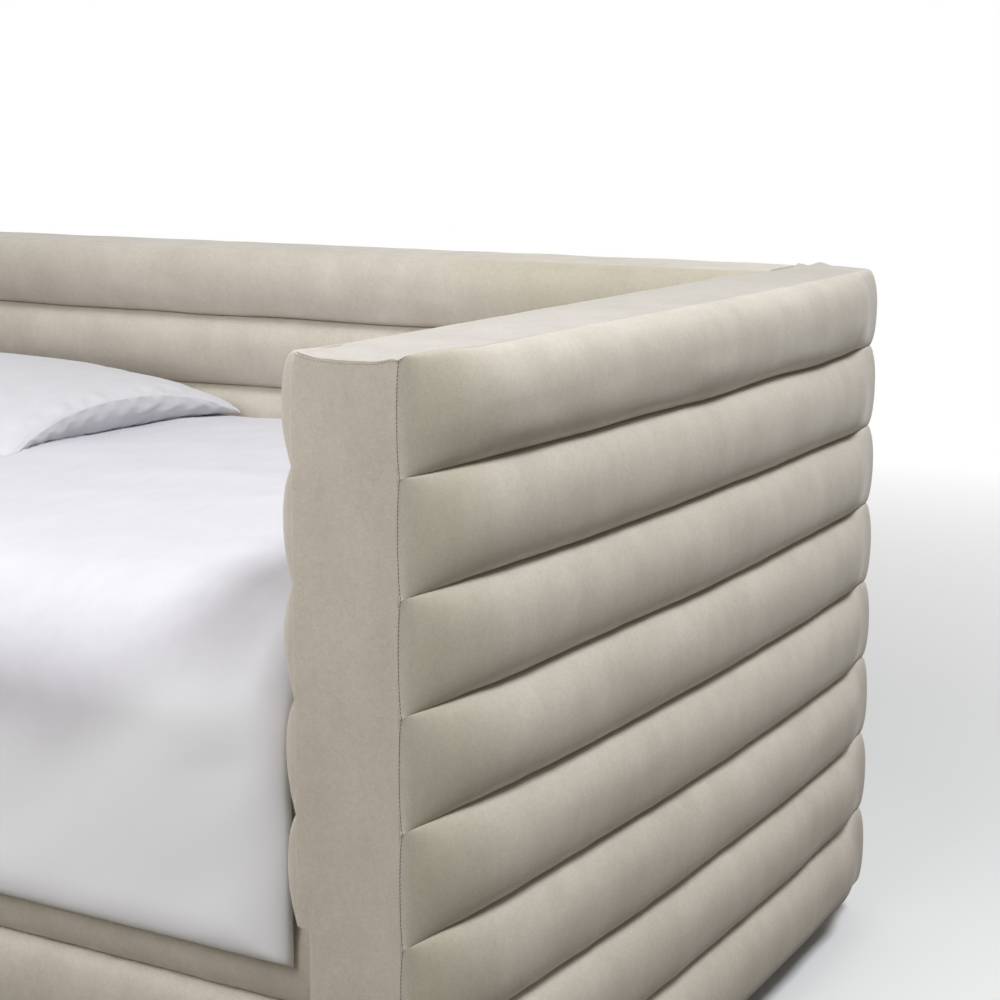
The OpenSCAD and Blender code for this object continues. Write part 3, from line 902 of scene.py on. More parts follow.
def add_stitches(whole, line, outward, length, radius, lift, taper, seed):
    """Adds a row of capsule stitches along a line, thinner towards its end by taper."""
    rng = np.random.default_rng(seed)
    points, ways = resampled(line, STITCH_PITCH)
    outward = np.array(outward) / np.linalg.norm(outward)
    for k, (point, way) in enumerate(zip(points, ways)):
        gauge = radius * (1 - taper * (k / len(points)) ** 2)
        across = np.cross(way, outward)
        way = way + across * (STITCH_SLANT + 0.08 * rng.normal())
        way = way / np.linalg.norm(way)
        across = np.cross(way, outward)
        stretch = length * (1 + 0.08 * rng.normal())
        stitch = []
        for along, thick in STITCH_RINGS:
            for side in range(STITCH_SIDES):
                angle = TAU * side / STITCH_SIDES
                ring = across * math.cos(angle) + outward * math.sin(angle) * 0.8
                stitch.append(point + outward * lift + way * along * stretch + ring * gauge * thick)
        add_part(whole, stitch, ring_faces(len(STITCH_RINGS), STITCH_SIDES))


def below_top(panel):
    """The line of the seam across the top of a front panel, a few millimetres under its top edge."""
    grid = panel[0][:, len(RETURN) :]
    line = []
    for c in range(1, grid.shape[1] - 1):
        climb = np.maximum.accumulate(grid[:, c, 2] + 1e-6 * np.arange(len(grid)))
        drop = (1.2 + 1.8 * math.sin(math.pi * c / (grid.shape[1] - 1))) * MM
        height = climb[-1] - drop
        x, y = [np.interp(height, climb, grid[:, c, axis]) for axis in (0, 1)]
        line.append([x, y, height])
    return np.array(line)


def arm_thread(side, seed):
    """The stitches of one arm: down its front corner, across its front and back along its top."""
    outer = outer_covers[side][0]
    runs = [
        (outer[:, 0], (0.72, -0.70, 0), 3.1 * MM, 0.38 * MM, 0.05 * MM, 0),
        (below_top(front_covers[side]), (0, -1, 0.3), 2.6 * MM, 0.22 * MM, 0.02 * MM, 0),
        (outer[-1][outer_s < 0.34], (0.4, 0, 0.92), 3.2 * MM, 0.26 * MM, -0.02 * MM, 0.85),
    ]
    stitches = ([], [])
    for k, (line, outward, *gauge) in enumerate(runs):
        add_stitches(stitches, line * MIRROR[side], outward * MIRROR[side], *gauge, seed + k)
    new_piece(f"{side}_arm_thread", *stitches, THREAD, "frame", "upholstery")
    print(side, "thread", len(stitches[1]), "faces")


arm_thread("right", 5)
arm_thread("left", 15)

# %% [markdown]
# ## Bed linen
# The linen is a smooth, tightly woven cotton. It isn't paper white: a bluish white a little below
# full brightness keeps its folds readable. The weave is finer than a millimetre, so it shows only
# as a soft grain.

# %% Linen and ticking materials
def cotton(name, dark, light):
    """A plain white cotton between two colours, with a soft crinkle; painted light makes it whiter where the
    hanging attribute is set.
    """
    shop = Shop(name)
    weave = shop.noise(1300.0, 1.0)
    slub = shop.noise(60.0, 3.0, stretch=(1.0, 0.25, 1.0))
    crinkle = shop.noise(22.0, 4.0, roughness=0.6)
    tone = ((weave - 0.5) * 0.5 + (slub - 0.5) * 0.7 + (crinkle - 0.5) * 0.5 + 0.5).clipped()
    hanging = shop.add("ShaderNodeAttribute", {"attribute_name": "hanging"}, {}, "Fac")
    colour = shop.mix(tone, tint(*dark), tint(*light))
    return shop.finish(
        # Painted light: the colour goes to a whiter tint where the hanging attribute is set.
        Base_Color=shop.mix(hanging, colour, tint(238, 238, 242)),
        Roughness=(tone * -0.1 + 0.85),
        Normal=shop.bump(weave * 0.4 + crinkle * 0.6, 0.0010, 0.35),
        Specular_IOR_Level=0.3,
        Sheen_Weight=0.1,
        Sheen_Roughness=0.5,
    )


LINEN = cotton("duvet_cotton", (199, 198, 204), (213, 211, 217))
PILLOWCASE = cotton("pillowcase_cotton", (197, 196, 200), (210, 209, 213))

ticking_shop = Shop("mattress_ticking")
across_x = ticking_shop.add("ShaderNodeSeparateXYZ", {}, {0: ticking_shop.places}, "X")
stripe = ticking_shop.add("ShaderNodeMath", {"operation": "PINGPONG"}, {0: across_x, 1: 0.018})
stripe = ((stripe - 0.0145) / 0.0010).clipped()
ticking_weave = ticking_shop.noise(900.0, 2.0)
ticking_base = ticking_shop.mix(stripe, tint(222, 218, 208), tint(186, 186, 186))
ticking_colour = ticking_shop.mix(ticking_weave * 0.25, ticking_base, tint(160, 156, 148))
TICKING = ticking_shop.finish(
    Base_Color=ticking_colour,
    Roughness=0.85,
    Normal=ticking_shop.bump(ticking_weave, 0.0006, 0.4),
)
print("linen and ticking ready")

# %% [markdown]
# ## Mattress
# A sprung mattress is a box of ticking with a piped edge above and below and a quilted top. It is
# made as rings of a rounded rectangle, from the middle of its underside, up the border, to the middle
# of its top, with the quilting as shallow diamonds between tied points.

# %% Rings of the mattress
mattress_low, mattress_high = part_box("mattress")
mattress_middle = [(a + b) / 2 for a, b in zip(mattress_low, mattress_high)]
mattress_half = [(b - a) / 2 for a, b in zip(mattress_low, mattress_high)]
MATTRESS_CORNER = 60 * MM
EDGE_ROUND = 38 * MM
BORDER = mattress_half[2] - EDGE_ROUND
TUFT_PITCH = 0.16
TUFT_DEEP = 5 * MM
RING_SIDE = 90
RING_CORNER = 8


def rounded_ring(half_x, half_y, radius):
    """Points round a rectangle with rounded corners, always the same number of them."""
    radius = max(radius, 1e-5)
    corners = [(1, 1, 0), (-1, 1, 1), (-1, -1, 2), (1, -1, 3)]
    ring = []
    for sx, sy, quarter in corners:
        for k in range(RING_CORNER + 1):
            angle = (quarter + k / RING_CORNER) * math.pi / 2
            x = sx * (half_x - radius) + radius * math.cos(angle)
            y = sy * (half_y - radius) + radius * math.sin(angle)
            ring.append((x, y))
        next_sx, next_sy, _ = corners[(quarter + 1) % 4]
        start = ring[-1]
        angle = (quarter + 1) * math.pi / 2
        goal_x = next_sx * (half_x - radius) + radius * math.cos(angle)
        goal_y = next_sy * (half_y - radius) + radius * math.sin(angle)
        count = RING_SIDE if quarter % 2 == 0 else RING_SIDE // 2
        for k in range(1, count):
            part = k / count
            ring.append((start[0] + (goal_x - start[0]) * part, start[1] + (goal_y - start[1]) * part))
    return np.array(ring)


def round_edge(lift, first, last):
    """Inset and height of the rings round an edge, from one angle to another in degrees."""
    angles = np.radians(np.linspace(first, last, 6))
    return [(EDGE_ROUND * (1 - math.cos(a)), lift + EDGE_ROUND * math.sin(a)) for a in angles]


def mattress_points():
    """Rings of points over the whole mattress, from the middle below to the middle on top."""
    _, half_depth, half_tall = mattress_half
    below = np.concatenate([np.linspace(0.93, 0.10, 14), [0.06, 0.03]])
    above = np.concatenate([[0.06, 0.08], np.linspace(0.10, 0.93, 46)])
    border = np.linspace(0, 1, 12)[1:-1]
    rings = [(inset * half_depth, -half_tall) for inset in below]
    rings += round_edge(-BORDER, -90, 0)
    rings += [(-2.0 * MM * math.sin(part * math.pi), (part - 0.5) * 2 * BORDER) for part in border]
    rings += round_edge(BORDER, 0, 90)
    rings += [(inset * half_depth, half_tall) for inset in above]
    sheets = []
    for inset, lift in rings:
        ring = rounded_ring(mattress_half[0] - inset, mattress_half[1] - inset, MATTRESS_CORNER - inset)
        x = ring[:, 0]
        y = ring[:, 1]
        z = np.full(len(ring), lift)
        if inset > EDGE_ROUND:
            flat = ease((inset - EDGE_ROUND) / (40 * MM))
            diagonals = np.sin((x + y) * math.pi / TUFT_PITCH) * np.sin((x - y) * math.pi / TUFT_PITCH)
            z = z - np.sign(lift) * flat * TUFT_DEEP * (1 - np.abs(diagonals) ** 0.5)
        sheets.append(np.stack([x, y, z], axis=-1) + np.array(mattress_middle))
    return np.array(sheets)


print("mattress border is", round(2 * BORDER, 3), "m high between its rounded edges")

# %% Mattress and piping
PIPING = 3.5 * MM
mattress_rings = mattress_points()
rows, columns = mattress_rings.shape[:2]
mattress_piece = new_piece(
    "mattress_body", mattress_rings.reshape(-1, 3), ring_faces(rows, columns), TICKING, "bedding", "ticking"
)
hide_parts("mattress")


def tube(line, radius, sides=8):
    """Points and faces of a round tube along a closed line of points."""
    ahead = np.roll(line, -1, axis=0) - np.roll(line, 1, axis=0)
    ahead = ahead / np.linalg.norm(ahead, axis=1, keepdims=True)
    up = np.broadcast_to([0.0, 0.0, 1.0], line.shape)
    beside = np.cross(ahead, up)
    beside = beside / np.linalg.norm(beside, axis=1, keepdims=True)
    up = np.cross(beside, ahead)
    points = []
    for place, one, two in zip(line, beside, up):
        for k in range(sides):
            angle = TAU * k / sides
            points.append(place + radius * (one * math.cos(angle) + two * math.sin(angle)))
    return points, ring_faces(len(line), sides, ends="joined")


for label, lift in (("lower", -BORDER), ("upper", BORDER)):
    ring = rounded_ring(mattress_half[0], mattress_half[1], MATTRESS_CORNER)
    line = np.column_stack([ring, np.full(len(ring), lift)]) + np.array(mattress_middle)
    new_piece(f"mattress_{label}_piping", *tube(line, PIPING), TICKING, "bedding", "ticking")
print("mattress", rows * columns, "points")

# %% [markdown]
# ## Duvet
# The duvet lies on the mattress and hangs over its front edge. It is a closed quilt with a rounded
# hem all round: an upper side that carries the folds, and a lower side that follows the mattress.
# Its folds are laid as soft ridges along listed curves, since a simulation of so large a sheet would
# take longer than it is worth. Where the pillow rests, the duvet is pressed to the pillow's underside.

# %% Where the pillow rests
pillow_low, pillow_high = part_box("pillow")
pillow_size = [b - a for a, b in zip(pillow_low, pillow_high)]
pillow_middle = [(a + b) / 2 for a, b in zip(pillow_low, pillow_high)]
half_x = pillow_size[0] / 2
half_y = pillow_size[1] / 2
SEAM_HIGH = 51 * MM
SEAM_LOW = 3 * MM
CREST = pillow_size[2] - 18 * MM
PULLED_X = 0.075
PULLED_Y = 0.10


def pillow_form(u, v):
    """Height of the pillow's seam, how far its underside has sunk to the bed, and distance in from its edge.

    u and v run from -1 to 1 across the pillow."""
    from_end = half_x * np.clip(1 - np.abs(u), 0, 1) + 1e-6
    from_side = half_y * np.clip(1 - np.abs(v), 0, 1) + 1e-6
    inward = (from_end**-4 + from_side**-4) ** -0.25
    seam = SEAM_LOW + (SEAM_HIGH - SEAM_LOW) * (1 - np.abs(u * v) ** 2.2)
    return seam, swell(inward / (60 * MM), 2.2), inward


def room_under_pillow(x, y):
    """Height of the pillow's underside over the bed at x and y, and a metre where there is no pillow."""
    u = (x - pillow_middle[0]) / half_x
    v = (y - pillow_middle[1]) / half_y
    straight_u, straight_v = u, v
    for _ in range(3):
        u = straight_u / (1 - PULLED_X * (1 - np.clip(v, -1, 1) ** 2))
        v = straight_v / (1 - PULLED_Y * (1 - np.clip(u, -1, 1) ** 2))
    inside = (np.abs(u) < 1) & (np.abs(v) < 1)
    seam, sunk, _ = pillow_form(np.clip(u, -1, 1), np.clip(v, -1, 1))
    return np.where(inside, seam * (1 - sunk), 1.0)


print("pillow", np.round(pillow_size, 3))

# %% Section of the duvet
duvet_low, duvet_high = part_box("duvet")
duvet_top_z = duvet_high[2]
duvet_under_z = mattress_high[2] + 0.3 * MM
DUVET_THICK = duvet_top_z - duvet_under_z
DROP_THICK = mattress_low[1] - duvet_low[1]
FRONT_TURN = 115 * MM
DUVET_ACROSS = 300
DUVET_ALONG = 190
top_run = duvet_high[1] - (duvet_low[1] + FRONT_TURN)
turn_run = FRONT_TURN * math.pi / 2
drop_run = duvet_top_z - FRONT_TURN - duvet_low[2]
duvet_run = top_run + turn_run + drop_run


def duvet_path(run):
    """Place (y, z) and outward direction of the duvet's upper side, at distance run from its rear hem."""
    angle = np.clip((run - top_run) / turn_run, 0, 1) * math.pi / 2
    y = duvet_high[1] - np.minimum(run, top_run) - FRONT_TURN * np.sin(angle)
    z = duvet_top_z - FRONT_TURN * (1 - np.cos(angle)) - np.clip(run - top_run - turn_run, 0, None)
    return y, z, -np.sin(angle), np.cos(angle)


print("duvet runs", round(duvet_run, 3), "m from its rear hem to its front hem")

# %% Folds of the duvet
def ridge(x, run, points, width, height):
    """A soft fold of the cloth: a rounded ridge along a line of (x, run) points, fading at its ends."""
    points = np.array(points)
    best = np.full(x.shape, 1e9)
    fade = np.zeros(x.shape)
    legs = len(points) - 1
    for k in range(legs):
        start = points[k]
        leg = points[k + 1] - start
        part = np.clip(((x - start[0]) * leg[0] + (run - start[1]) * leg[1]) / (leg @ leg), 0, 1)
        gap = np.hypot(x - start[0] - part * leg[0], run - start[1] - part * leg[1])
        closer = gap < best
        best = np.where(closer, gap, best)
        fade = np.where(closer, (k + part) / legs, fade)
    return height * np.exp(-((best / width) ** 2)) * np.sin(np.clip(fade, 0, 1) * math.pi) ** 0.7


# each ridge: its line as x and distance past the middle of the front turn, its half width and its height
FOLD_LINES = (
    (
        [(0.73, -0.30), (0.78, -0.19), (0.81, -0.10), (0.84, -0.02), (0.865, 0.06), (0.88, 0.12)],
        0.045,
        5 * MM,
    ),
    ([(0.95, -0.12), (0.93, -0.03), (0.92, 0.08)], 0.022, 4 * MM),
    ([(0.95, -0.30), (0.75, -0.36), (0.55, -0.40)], 0.030, 3.5 * MM),
    ([(0.90, -0.52), (0.60, -0.50), (0.30, -0.42)], 0.045, 4 * MM),
    ([(0.15, 0.03), (0.30, -0.08), (0.52, -0.15)], 0.036, 5 * MM),
    ([(-0.75, 0.08), (-0.55, -0.04), (-0.30, -0.10)], 0.036, 6 * MM),
    ([(-0.98, -0.18), (-0.90, -0.08), (-0.86, 0.02), (-0.88, 0.12)], 0.036, 8 * MM),
    ([(0.45, 0.05), (0.42, 0.18), (0.44, 0.32)], 0.040, 3 * MM),
    ([(0.10, 0.08), (0.13, 0.20), (0.11, 0.32)], 0.044, 3 * MM),
    ([(-0.30, 0.06), (-0.27, 0.20), (-0.31, 0.32)], 0.040, 4 * MM),
)
HEM = 38 * MM
HEM_LOW_DOWN = 30 * MM
even_steps = np.linspace(duvet_low[0], duvet_high[0], DUVET_ACROSS)
x_line = duvet_low[0] + (duvet_high[0] - duvet_low[0]) * close_at_ends(DUVET_ACROSS)
x_line = 0.35 * x_line + 0.65 * even_steps
run_line = np.linspace(0, duvet_run, DUVET_ALONG)
duvet_x, duvet_r = np.meshgrid(x_line, run_line)
side_hem = np.minimum(duvet_x - duvet_low[0], duvet_high[0] - duvet_x)
low_down = ease((duvet_r - top_run - turn_run) / 0.12)
side_full = side_hem / (HEM + HEM_LOW_DOWN * low_down)
fullness = swell(np.minimum.reduce([side_full, duvet_r / HEM, (duvet_run - duvet_r) / HEM]))
on_drop = ease((duvet_r - top_run - turn_run * 0.5) / (turn_run * 0.8))
along_top = np.clip(duvet_r / (top_run + turn_run), 0, 1)
puff = 4 * MM + 3 * MM * ease((duvet_x - 0.4) / 0.4) + 9 * MM * np.sin(along_top * math.pi)
puff = puff * (1 - ease((duvet_r - top_run + 0.11) / 0.22))
from_corner = np.hypot(
    np.abs(duvet_x - pillow_middle[0]) - half_x, duvet_high[1] - duvet_r - pillow_high[1]
)
puff = puff * (1 - 0.6 * np.exp(-((from_corner / 0.08) ** 2)))
folds = 2.6 * MM * waves(duvet_x / 0.50, duvet_r / 0.30, 201)
folds = folds + 1.2 * MM * waves((duvet_x - 0.6 * duvet_r) / 0.30, (duvet_r + 0.6 * duvet_x) / 0.11, 202)
hanging = ease((duvet_r - top_run - turn_run * 0.6) / 0.25)
upright = waves(duvet_x / 0.19, duvet_r / 1.2, 203) * 2.6 * MM * hanging
turn_at = top_run + turn_run / 2
for points, width, height in FOLD_LINES:
    line = [(x, turn_at + past) for x, past in points]
    folds = folds + ridge(duvet_x, duvet_r, line, width, height)
duvet_y = duvet_high[1] - duvet_r
folds = np.minimum(folds + puff, room_under_pillow(duvet_x, duvet_y) - 0.6 * MM) + upright
print("highest fold", round(float(folds.max()) / MM, 1), "mm")

# %% Duvet
path_y, path_z, out_y, out_z = duvet_path(duvet_r)
thick = DUVET_THICK + (DROP_THICK - DUVET_THICK) * on_drop
upper_out = -thick * (1 - fullness) * 0.75 + folds * fullness
upper = np.stack([duvet_x, path_y + out_y * upper_out, path_z + out_z * upper_out], axis=-1)
lower_out = -thick * 0.75 * (1 - fullness) - thick * fullness
lower = np.stack([duvet_x, path_y + out_y * lower_out, path_z + out_z * lower_out], axis=-1)


def two_sides(above, below):
    """Quads over two grids of point numbers, one facing up and one facing down."""
    faces = []
    for r in range(above.shape[0] - 1):
        for c in range(above.shape[1] - 1):
            faces.append((above[r, c], above[r, c + 1], above[r + 1, c + 1], above[r + 1, c]))
            faces.append((below[r + 1, c], below[r + 1, c + 1], below[r, c + 1], below[r, c]))
    return faces


def shell(upper_grid, lower_grid):
    """Points and faces of a closed quilt from its two sides, joined along the hem."""
    rows, columns = upper_grid.shape[:2]
    points = np.concatenate([upper_grid.reshape(-1, 3), lower_grid.reshape(-1, 3)])
    above = np.arange(rows * columns).reshape(rows, columns)
    below = above + rows * columns
    faces = two_sides(above, below)
    rim = [(0, c) for c in range(columns)]
    rim += [(r, columns - 1) for r in range(1, rows)]
    rim += [(rows - 1, c) for c in range(columns - 2, -1, -1)]
    rim += [(r, 0) for r in range(rows - 2, 0, -1)]
    for here, there in zip(rim, rim[1:] + rim[:1]):
        faces.append((above[here], below[here], below[there], above[there]))
    return points, faces


duvet_piece = new_piece("duvet_quilt", *shell(upper, lower), LINEN, "bedding", "bed_linen", sharp=180)
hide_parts("duvet")


def painted_light_on_duvet(x, y, z):
    """Painted light that whitens the cotton: down the front, and higher up beside the arms, where the arm's
    shadow falls.
    """
    beside_arm = ease((np.abs(x) - 0.66) / 0.20)
    return ease((duvet_top_z - (100 - 88 * beside_arm) * MM - z) / 0.10)


# Painted light on the duvet: whiter down the front and beside the arms.
mark(duvet_piece, "hanging", painted_light_on_duvet)
print("duvet", len(duvet_piece.data.vertices), "points")

# %% [markdown]
# ## Pillow
# A pillow is two pieces of cotton sewn together and filled. Its seam stands clear of the bed along the
# middle of each edge, where it also pulls inward, and comes down at the corners; below, the pillow is
# pressed flat. A short cloth simulation with the seam and the underside held then gives the slack
# cloth its small gathers.

# %% Pillow
PILLOW_GRID = (120, 92)


def pillow_sides():
    """The upper and lower side of the pillow, each a grid of points that share their border."""
    u_line = np.sin(np.linspace(-1, 1, PILLOW_GRID[0]) * math.pi / 2)
    v_line = np.sin(np.linspace(-1, 1, PILLOW_GRID[1]) * math.pi / 2)
    u, v = np.meshgrid(u_line, v_line)
    blunt = 1 - 0.02 * np.abs(u * v) ** 12
    x = pillow_middle[0] + half_x * u * blunt * (1 - PULLED_X * (1 - v**2))
    y = pillow_middle[1] + half_y * v * blunt * (1 - PULLED_Y * (1 - u**2))
    seam, sunk, inward = pillow_form(u, v)
    filled = (1 - u**2) * (1 - v**2)
    edge = swell(inward / (28 * MM))
    # gathers run in from the seam, and fans of creases run in from the corners
    turn = np.arctan2(1.001 - np.abs(v), 1.001 - np.abs(u))
    reach = np.hypot(half_x * (1 - np.abs(u)), half_y * (1 - np.abs(v)))
    fan = waves(turn * 5 + np.sign(u) * 3 + np.sign(v) * 7, 0, 311) * np.exp(-reach / 0.13)
    gathers = waves(x / 0.032, y / 0.032, 312) * np.exp(-inward / (22 * MM))
    lumps = waves(x / 0.24, y / 0.24, 313)
    soft = edge * (2.2 * MM * fan * swell(reach / 0.05) + 0.8 * MM * gathers) + filled * 2.5 * MM * lumps
    plump = 9 * MM * edge
    above = seam + (CREST - seam - plump) * filled**1.3 + plump + soft
    below = seam * (1 - sunk) + 1.5 * MM * gathers * edge * (1 - sunk)
    heights = (above, np.maximum(below, 0))
    return [np.stack([x, y, pillow_low[2] + height], axis=-1) for height in heights]


def sewn(upper_side, lower_side):
    """Points and faces of a closed piece from two grids that share their border points."""
    rows, columns = upper_side.shape[:2]
    above = np.arange(rows * columns).reshape(rows, columns)
    below = above.copy()
    below[1:-1, 1:-1] = rows * columns + np.arange((rows - 2) * (columns - 2)).reshape(rows - 2, columns - 2)
    points = np.concatenate([upper_side.reshape(-1, 3), lower_side[1:-1, 1:-1].reshape(-1, 3)])
    return points, two_sides(above, below)


print("pillow seam stands", round(SEAM_HIGH / MM), "mm over the bed at most")

# %% Gathers and the finished pillow
GATHER_FRAMES = 20
GATHER_CAP = 6 * MM


def gathered(piece, held):
    """Lets slack cloth gather between its held points, and keeps the result in the mesh."""
    start = np.array([v.co for v in piece.data.vertices])
    group = piece.vertex_groups.new(name="held")
    group.add([int(k) for k in held], 1.0, "REPLACE")
    slack = piece.modifiers.new("slack", "CLOTH")
    slack.settings.vertex_group_mass = "held"
    slack.settings.use_pressure = True
    slack.settings.uniform_pressure_force = 1.5
    slack.settings.shrink_min = -0.02
    slack.settings.quality = 6
    slack.settings.mass = 0.25
    slack.settings.tension_stiffness = 15
    slack.settings.compression_stiffness = 15
    slack.settings.bending_stiffness = 0.2
    slack.settings.effector_weights.gravity = 0
    slack.collision_settings.use_collision = False
    slack.point_cache.frame_start = 1
    slack.point_cache.frame_end = GATHER_FRAMES
    for step in range(1, GATHER_FRAMES + 1):
        bpy.context.scene.frame_set(step)
    shaped = piece.evaluated_get(bpy.context.evaluated_depsgraph_get())
    ended = np.array([v.co for v in shaped.data.vertices])
    bpy.context.scene.frame_set(1)
    piece.modifiers.remove(slack)
    piece.vertex_groups.remove(group)
    move = ended - start
    far = np.linalg.norm(move, axis=1, keepdims=True)
    move = move * GATHER_CAP / (GATHER_CAP + far)
    low = start[:, 2] < pillow_low[2] + SEAM_HIGH
    move[low, 2] = np.maximum(move[low, 2], -0.5 * MM)
    for vertex, place in zip(piece.data.vertices, start + move):
        vertex.co = place
    return float(far.max())


pillow_points, pillow_faces = sewn(*pillow_sides())
pillow_piece = new_piece(
    "pillow_cushion", pillow_points, pillow_faces, PILLOWCASE, "pillow_body", "bed_linen", sharp=180
)
rows, columns = PILLOW_GRID[1], PILLOW_GRID[0]
border = np.ones((rows, columns), bool)
border[1:-1, 1:-1] = False
resting = pillow_points[:, 2] < pillow_low[2] + 6 * MM
resting[: rows * columns] = resting[: rows * columns] | border.ravel()
moved = gathered(pillow_piece, np.flatnonzero(resting))
print("pillow gathered, furthest move", round(moved, 4))
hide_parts("pillow")
print("pillow", len(pillow_piece.data.vertices), "points")

# %% [markdown]
# ## What is under the cover
# The frame is planed softwood with hardboard skins, zinc plated fittings and black plastic feet. These
# CAD solids are right as they are and stay, but each gets a finish of its own. Grain runs along a
# board, so the wood noise is stretched along whichever way each piece is longest.

# %% Timber and hardboard
def wood(name, stretch, light, dark):
    """Planed softwood: growth rings as stretched bands, with fine pores along the grain."""
    shop = Shop(name)
    rings = shop.noise(22.0, 4.0, stretch=stretch, roughness=0.55)
    bands = shop.add("ShaderNodeMath", {"operation": "PINGPONG"}, {0: rings * 7.0, 1: 0.5}) * 2.0
    pores = shop.noise(420.0, 3.0, stretch=stretch, roughness=0.7)
    knots = shop.noise(3.0, 2.0)
    tone = (bands * 0.55 + pores * 0.45 + (knots - 0.5) * 0.5).clipped()
    return shop.finish(
        Base_Color=shop.mix(tone, tint(*dark), tint(*light)),
        Roughness=(tone * -0.15 + 0.70),
        Normal=shop.bump(bands * 0.4 + pores * 0.6, 0.0005, 0.5),
    )


PINE_LIGHT = (226, 200, 160)
PINE_DARK = (190, 152, 106)
ALONG = [(0.06, 1.0, 1.0), (1.0, 0.06, 1.0), (1.0, 1.0, 0.06)]
pine = [wood(f"pine_along_{axis}", stretch, PINE_LIGHT, PINE_DARK) for axis, stretch in zip("xyz", ALONG)]

board_shop = Shop("pressed_board")
fibres = board_shop.noise(260.0, 4.0, roughness=0.7)
flecks = board_shop.noise(70.0, 3.0, roughness=0.6)
board_tone = (fibres * 0.6 + flecks * 0.5).clipped()
HARDBOARD = board_shop.finish(
    Base_Color=board_shop.mix(board_tone, tint(108, 78, 52), tint(160, 124, 88)),
    Roughness=0.75,
    Normal=board_shop.bump(fibres, 0.0004, 0.5),
)
print("wood finishes ready")

# %% Metal, plastic and webbing
zinc_shop = Shop("zinc_plate")
brush = zinc_shop.noise(300.0, 3.0, stretch=(0.15, 1.0, 1.0), roughness=0.6)
spangle = zinc_shop.noise(90.0, 2.0)
zinc_tone = (brush * 0.5 + spangle * 0.5).clipped()
ZINC = zinc_shop.finish(
    Base_Color=zinc_shop.mix(zinc_tone, tint(158, 160, 162), tint(204, 206, 206)),
    Metallic=1.0,
    Roughness=(zinc_tone * 0.2 + 0.28),
    Normal=zinc_shop.bump(brush, 0.0002, 0.4),
)

foot_shop = Shop("foot_plastic")
orange_peel = foot_shop.noise(500.0, 3.0, roughness=0.6)
scuffs = foot_shop.noise(40.0, 4.0, roughness=0.7)
foot_tone = (orange_peel * 0.5 + scuffs * 0.5).clipped()
FOOT_PLASTIC = foot_shop.finish(
    Base_Color=foot_shop.mix(foot_tone, tint(26, 25, 24), tint(52, 50, 48)),
    Roughness=(scuffs * 0.3 + 0.35),
    Normal=foot_shop.bump(orange_peel, 0.0003, 0.5),
)


def woven(name, pitch, dark, light):
    """A plain weave: two crossed sets of ridges."""
    shop = Shop(name)
    ridges = []
    for axis in "XY":
        place = shop.add("ShaderNodeSeparateXYZ", {}, {0: shop.places}, axis)
        ridges.append(shop.add("ShaderNodeMath", {"operation": "PINGPONG"}, {0: place, 1: pitch}) / pitch)
    fuzz = shop.noise(500.0, 3.0, roughness=0.7)
    tone = (ridges[0] * 0.35 + ridges[1] * 0.35 + fuzz * 0.4).clipped()
    return shop.finish(
        Base_Color=shop.mix(tone, tint(*dark), tint(*light)),
        Roughness=0.85,
        Normal=shop.bump(ridges[0] * ridges[1] + fuzz * 0.3, pitch * 0.4, 0.6),
    )


WEBBING = woven("webbing_strap", 0.0012, (62, 56, 48), (120, 110, 96))
DUST_CLOTH = woven("dust_cloth", 0.0009, (30, 30, 31), (66, 66, 68))
print("metal, plastic and woven finishes ready")

# %% [markdown]
# ## Straps and dust covers
# Two webbing straps run under the slats and keep them apart, and black cloth closes the underside of
# the arms and the back. Both are stretched flat and held with staples: each staple's crown lies on the
# cloth and its legs go through it into the wood.

# %% Stretched cloth
def separate_boxes(node):
    """The low and high corners of each separate solid in a CAD node."""
    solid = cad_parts[node]
    spots = np.array([solid.matrix_world @ v.co for v in solid.data.vertices])
    corners, which = np.unique(spots.round(5), axis=0, return_inverse=True)
    which = which.ravel()
    group = np.arange(len(corners))
    for _ in range(12):
        for edge in solid.data.edges:
            one, two = which[edge.vertices[0]], which[edge.vertices[1]]
            group[one] = group[two] = min(group[one], group[two])
    return [(corners[group == k].min(axis=0), corners[group == k].max(axis=0)) for k in np.unique(group)]


def stretched(name, low, high, material, slot, node, rests_on, thick, ripple, seed):
    """A thin cloth stretched over a rectangle, thicker along its turned edges."""
    size = high - low
    steps = [max(6, int(round(size[k] / (12 * MM)))) for k in (0, 1)]
    x, y = np.meshgrid(*[low[k] + size[k] * close_at_ends(steps[k]) for k in (0, 1)])
    edge = np.minimum.reduce([x - low[0], high[0] - x, y - low[1], high[1] - y])
    half = thick / 2 * swell(edge / (0.5 * MM)) * (1 + 0.5 * np.exp(-((edge / (6 * MM)) ** 2)))
    middle = (low[2] + high[2]) / 2 + ripple * waves(x / 0.09, y / 0.09, seed) * ease(edge / (15 * MM))
    sides = [np.stack([x, y, height], axis=-1) for height in (middle + half, middle - half)]
    piece = new_piece(name, *sewn(*sides), material, "frame", slot, sharp=180)
    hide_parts(node)
    print(name, "cut", np.round(size[:2], 3))


print(len(separate_boxes("slat_straps")), "straps and", len(separate_boxes("dust_covers")), "dust covers")

# %% Staples
WIRE_SIDES = 6
WIRE_HALF_WIDE = 0.55 * MM
WIRE_HALF_THICK = 0.35 * MM
STAPLE = ((-5.0, 2.5), (-5.0, 0.5), (-4.4, 0.0), (4.4, 0.0), (5.0, 0.5), (5.0, 2.5))


